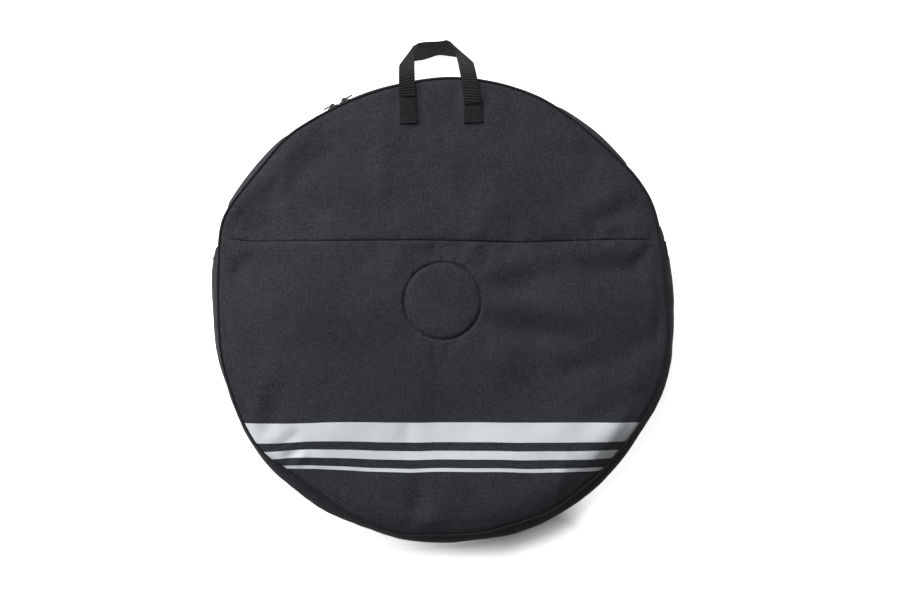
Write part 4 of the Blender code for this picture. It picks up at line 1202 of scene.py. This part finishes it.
def ramp(value, limits, smooth=True):
    """Between the first two limits the value's result goes from the third to the fourth."""
    kind = {"interpolation_type": "SMOOTHSTEP"} if smooth else None
    ends = dict(zip(("From_Min", "From_Max", "To_Min", "To_Max"), limits))
    return node(value.id_data, "MapRange", kind, Value=value, **ends)


def make_floor():
    corners = [(x * FLOOR_HALF, y * FLOOR_HALF, 0) for x, y in ((-1, -1), (1, -1), (1, 1), (-1, 1))]
    mesh = bpy.data.meshes.new("floor")
    mesh.from_pydata(corners, [], [(0, 1, 2, 3)])
    floor = placed("floor", mesh)
    floor.location.z = -GAP
    material, tree, shader = new_material("floor", 0.9, 0.0)
    seen = seen_ray(tree)
    level = plus(times(seen, FLOOR_SEEN - FLOOR_BOUNCE), FLOOR_BOUNCE)
    here = node(tree, "TexCoord", out="Object")
    across, up, _ = node(tree, "SeparateXYZ", i0=here).node.outputs
    distance = node(tree, "VectorMath", {"operation": "LENGTH"}, "Value", i0=here)
    past_rim = times(minus(distance, FLOOR_RIM), ramp(across, FLOOR_HASTE, False))
    # Painted light for camera and glossy rays, which fades the bag's shadow on the floor away everywhere but
    # below the bag
    painted_light = ramp(up, FLOOR_LIFT_TOP)
    for value, limits in (
        (past_rim, FLOOR_LIFT_ROUND),
        (distance, FLOOR_LIFT_FAR),
        (across, FLOOR_LIFT_LEFT),
        (across, FLOOR_LIFT_RIGHT),
    ):
        painted_light = math_node("MAXIMUM", painted_light, ramp(value, limits))
    plug(shader, Base_Color=node(tree, "CombineColor", Red=level, Green=level, Blue=level))
    plug(shader, Emission_Color=(1, 1, 1, 1), Emission_Strength=times(seen, painted_light))
    mesh.materials.append(material)


def seen_ray(tree):
    """1 for the rays that show the background, else 0."""
    path = node(tree, "LightPath").node.outputs
    seen = math_node("MAXIMUM", path["Is Camera Ray"], path["Is Glossy Ray"])
    return math_node("MAXIMUM", seen, path["Is Transmission Ray"])


FLOOR_HALF = 60.0
FLOOR_SEEN, FLOOR_BOUNCE = 0.92, 0.10
# Painted light on the floor, seen by camera and glossy rays only, which hides the bag's cast shadow except
# below its lower rim: from the first place to the second it grows from the third number to the fourth
FLOOR_LIFT_TOP = (-0.25, 0.30, 0.04, 0.93)
FLOOR_LIFT_ROUND = (0.0, 0.067, 0.04, 0.72)
FLOOR_LIFT_FAR = (0.80, 3.00, 0.00, 1.00)
FLOOR_LIFT_LEFT = (0.165, -0.19, 0.04, 0.85)
FLOOR_LIFT_RIGHT = (0.168, 0.262, 0.04, 0.91)
FLOOR_RIM = 0.378  # where the painted light round the rim starts
FLOOR_HASTE = (0.11, 0.0, 1.0, 1.9)  # how much sooner it grows towards the left
WORLD_LEVEL = 0.06

make_floor()

world = SCENE.world or bpy.data.worlds.new("world")
SCENE.world = world
world.use_nodes = True
sky_strength = plus(times(seen_ray(world.node_tree), 1 - WORLD_LEVEL), WORLD_LEVEL)
plug(world.node_tree.nodes["Background"], Color=(1, 1, 1, 1), Strength=sky_strength)


def lamp(name, place, size, power):
    """A round lamp that points at the bag's middle."""
    light = bpy.data.lights.new(name, "AREA")
    light.shape = "DISK"
    light.size = size
    light.energy = power
    lit = placed(name, light)
    lit.location = place
    lit.rotation_mode = "QUATERNION"
    lit.rotation_quaternion = (-Vector(place)).to_track_quat("-Z", "Y")


lamp("key", place=(-1.5, 4.61, 3.53), size=3.4, power=394)
lamp("fill", place=(-2.1, 0.55, 1.0), size=1.0, power=38.6)

camera = bpy.data.cameras.new("camera")
camera.sensor_width = SENSOR_WIDTH
camera.lens = SENSOR_WIDTH * CAMERA_DISTANCE / (FRAME_WIDTH * PIXEL)
camera_object = placed("camera", camera)
camera_object.location = (*at_pixel(FRAME_WIDTH / 2, FRAME_HEIGHT / 2), BAG_DEPTH + CAMERA_DISTANCE)
SCENE.camera = camera_object
SCENE.view_settings.view_transform = "Standard"
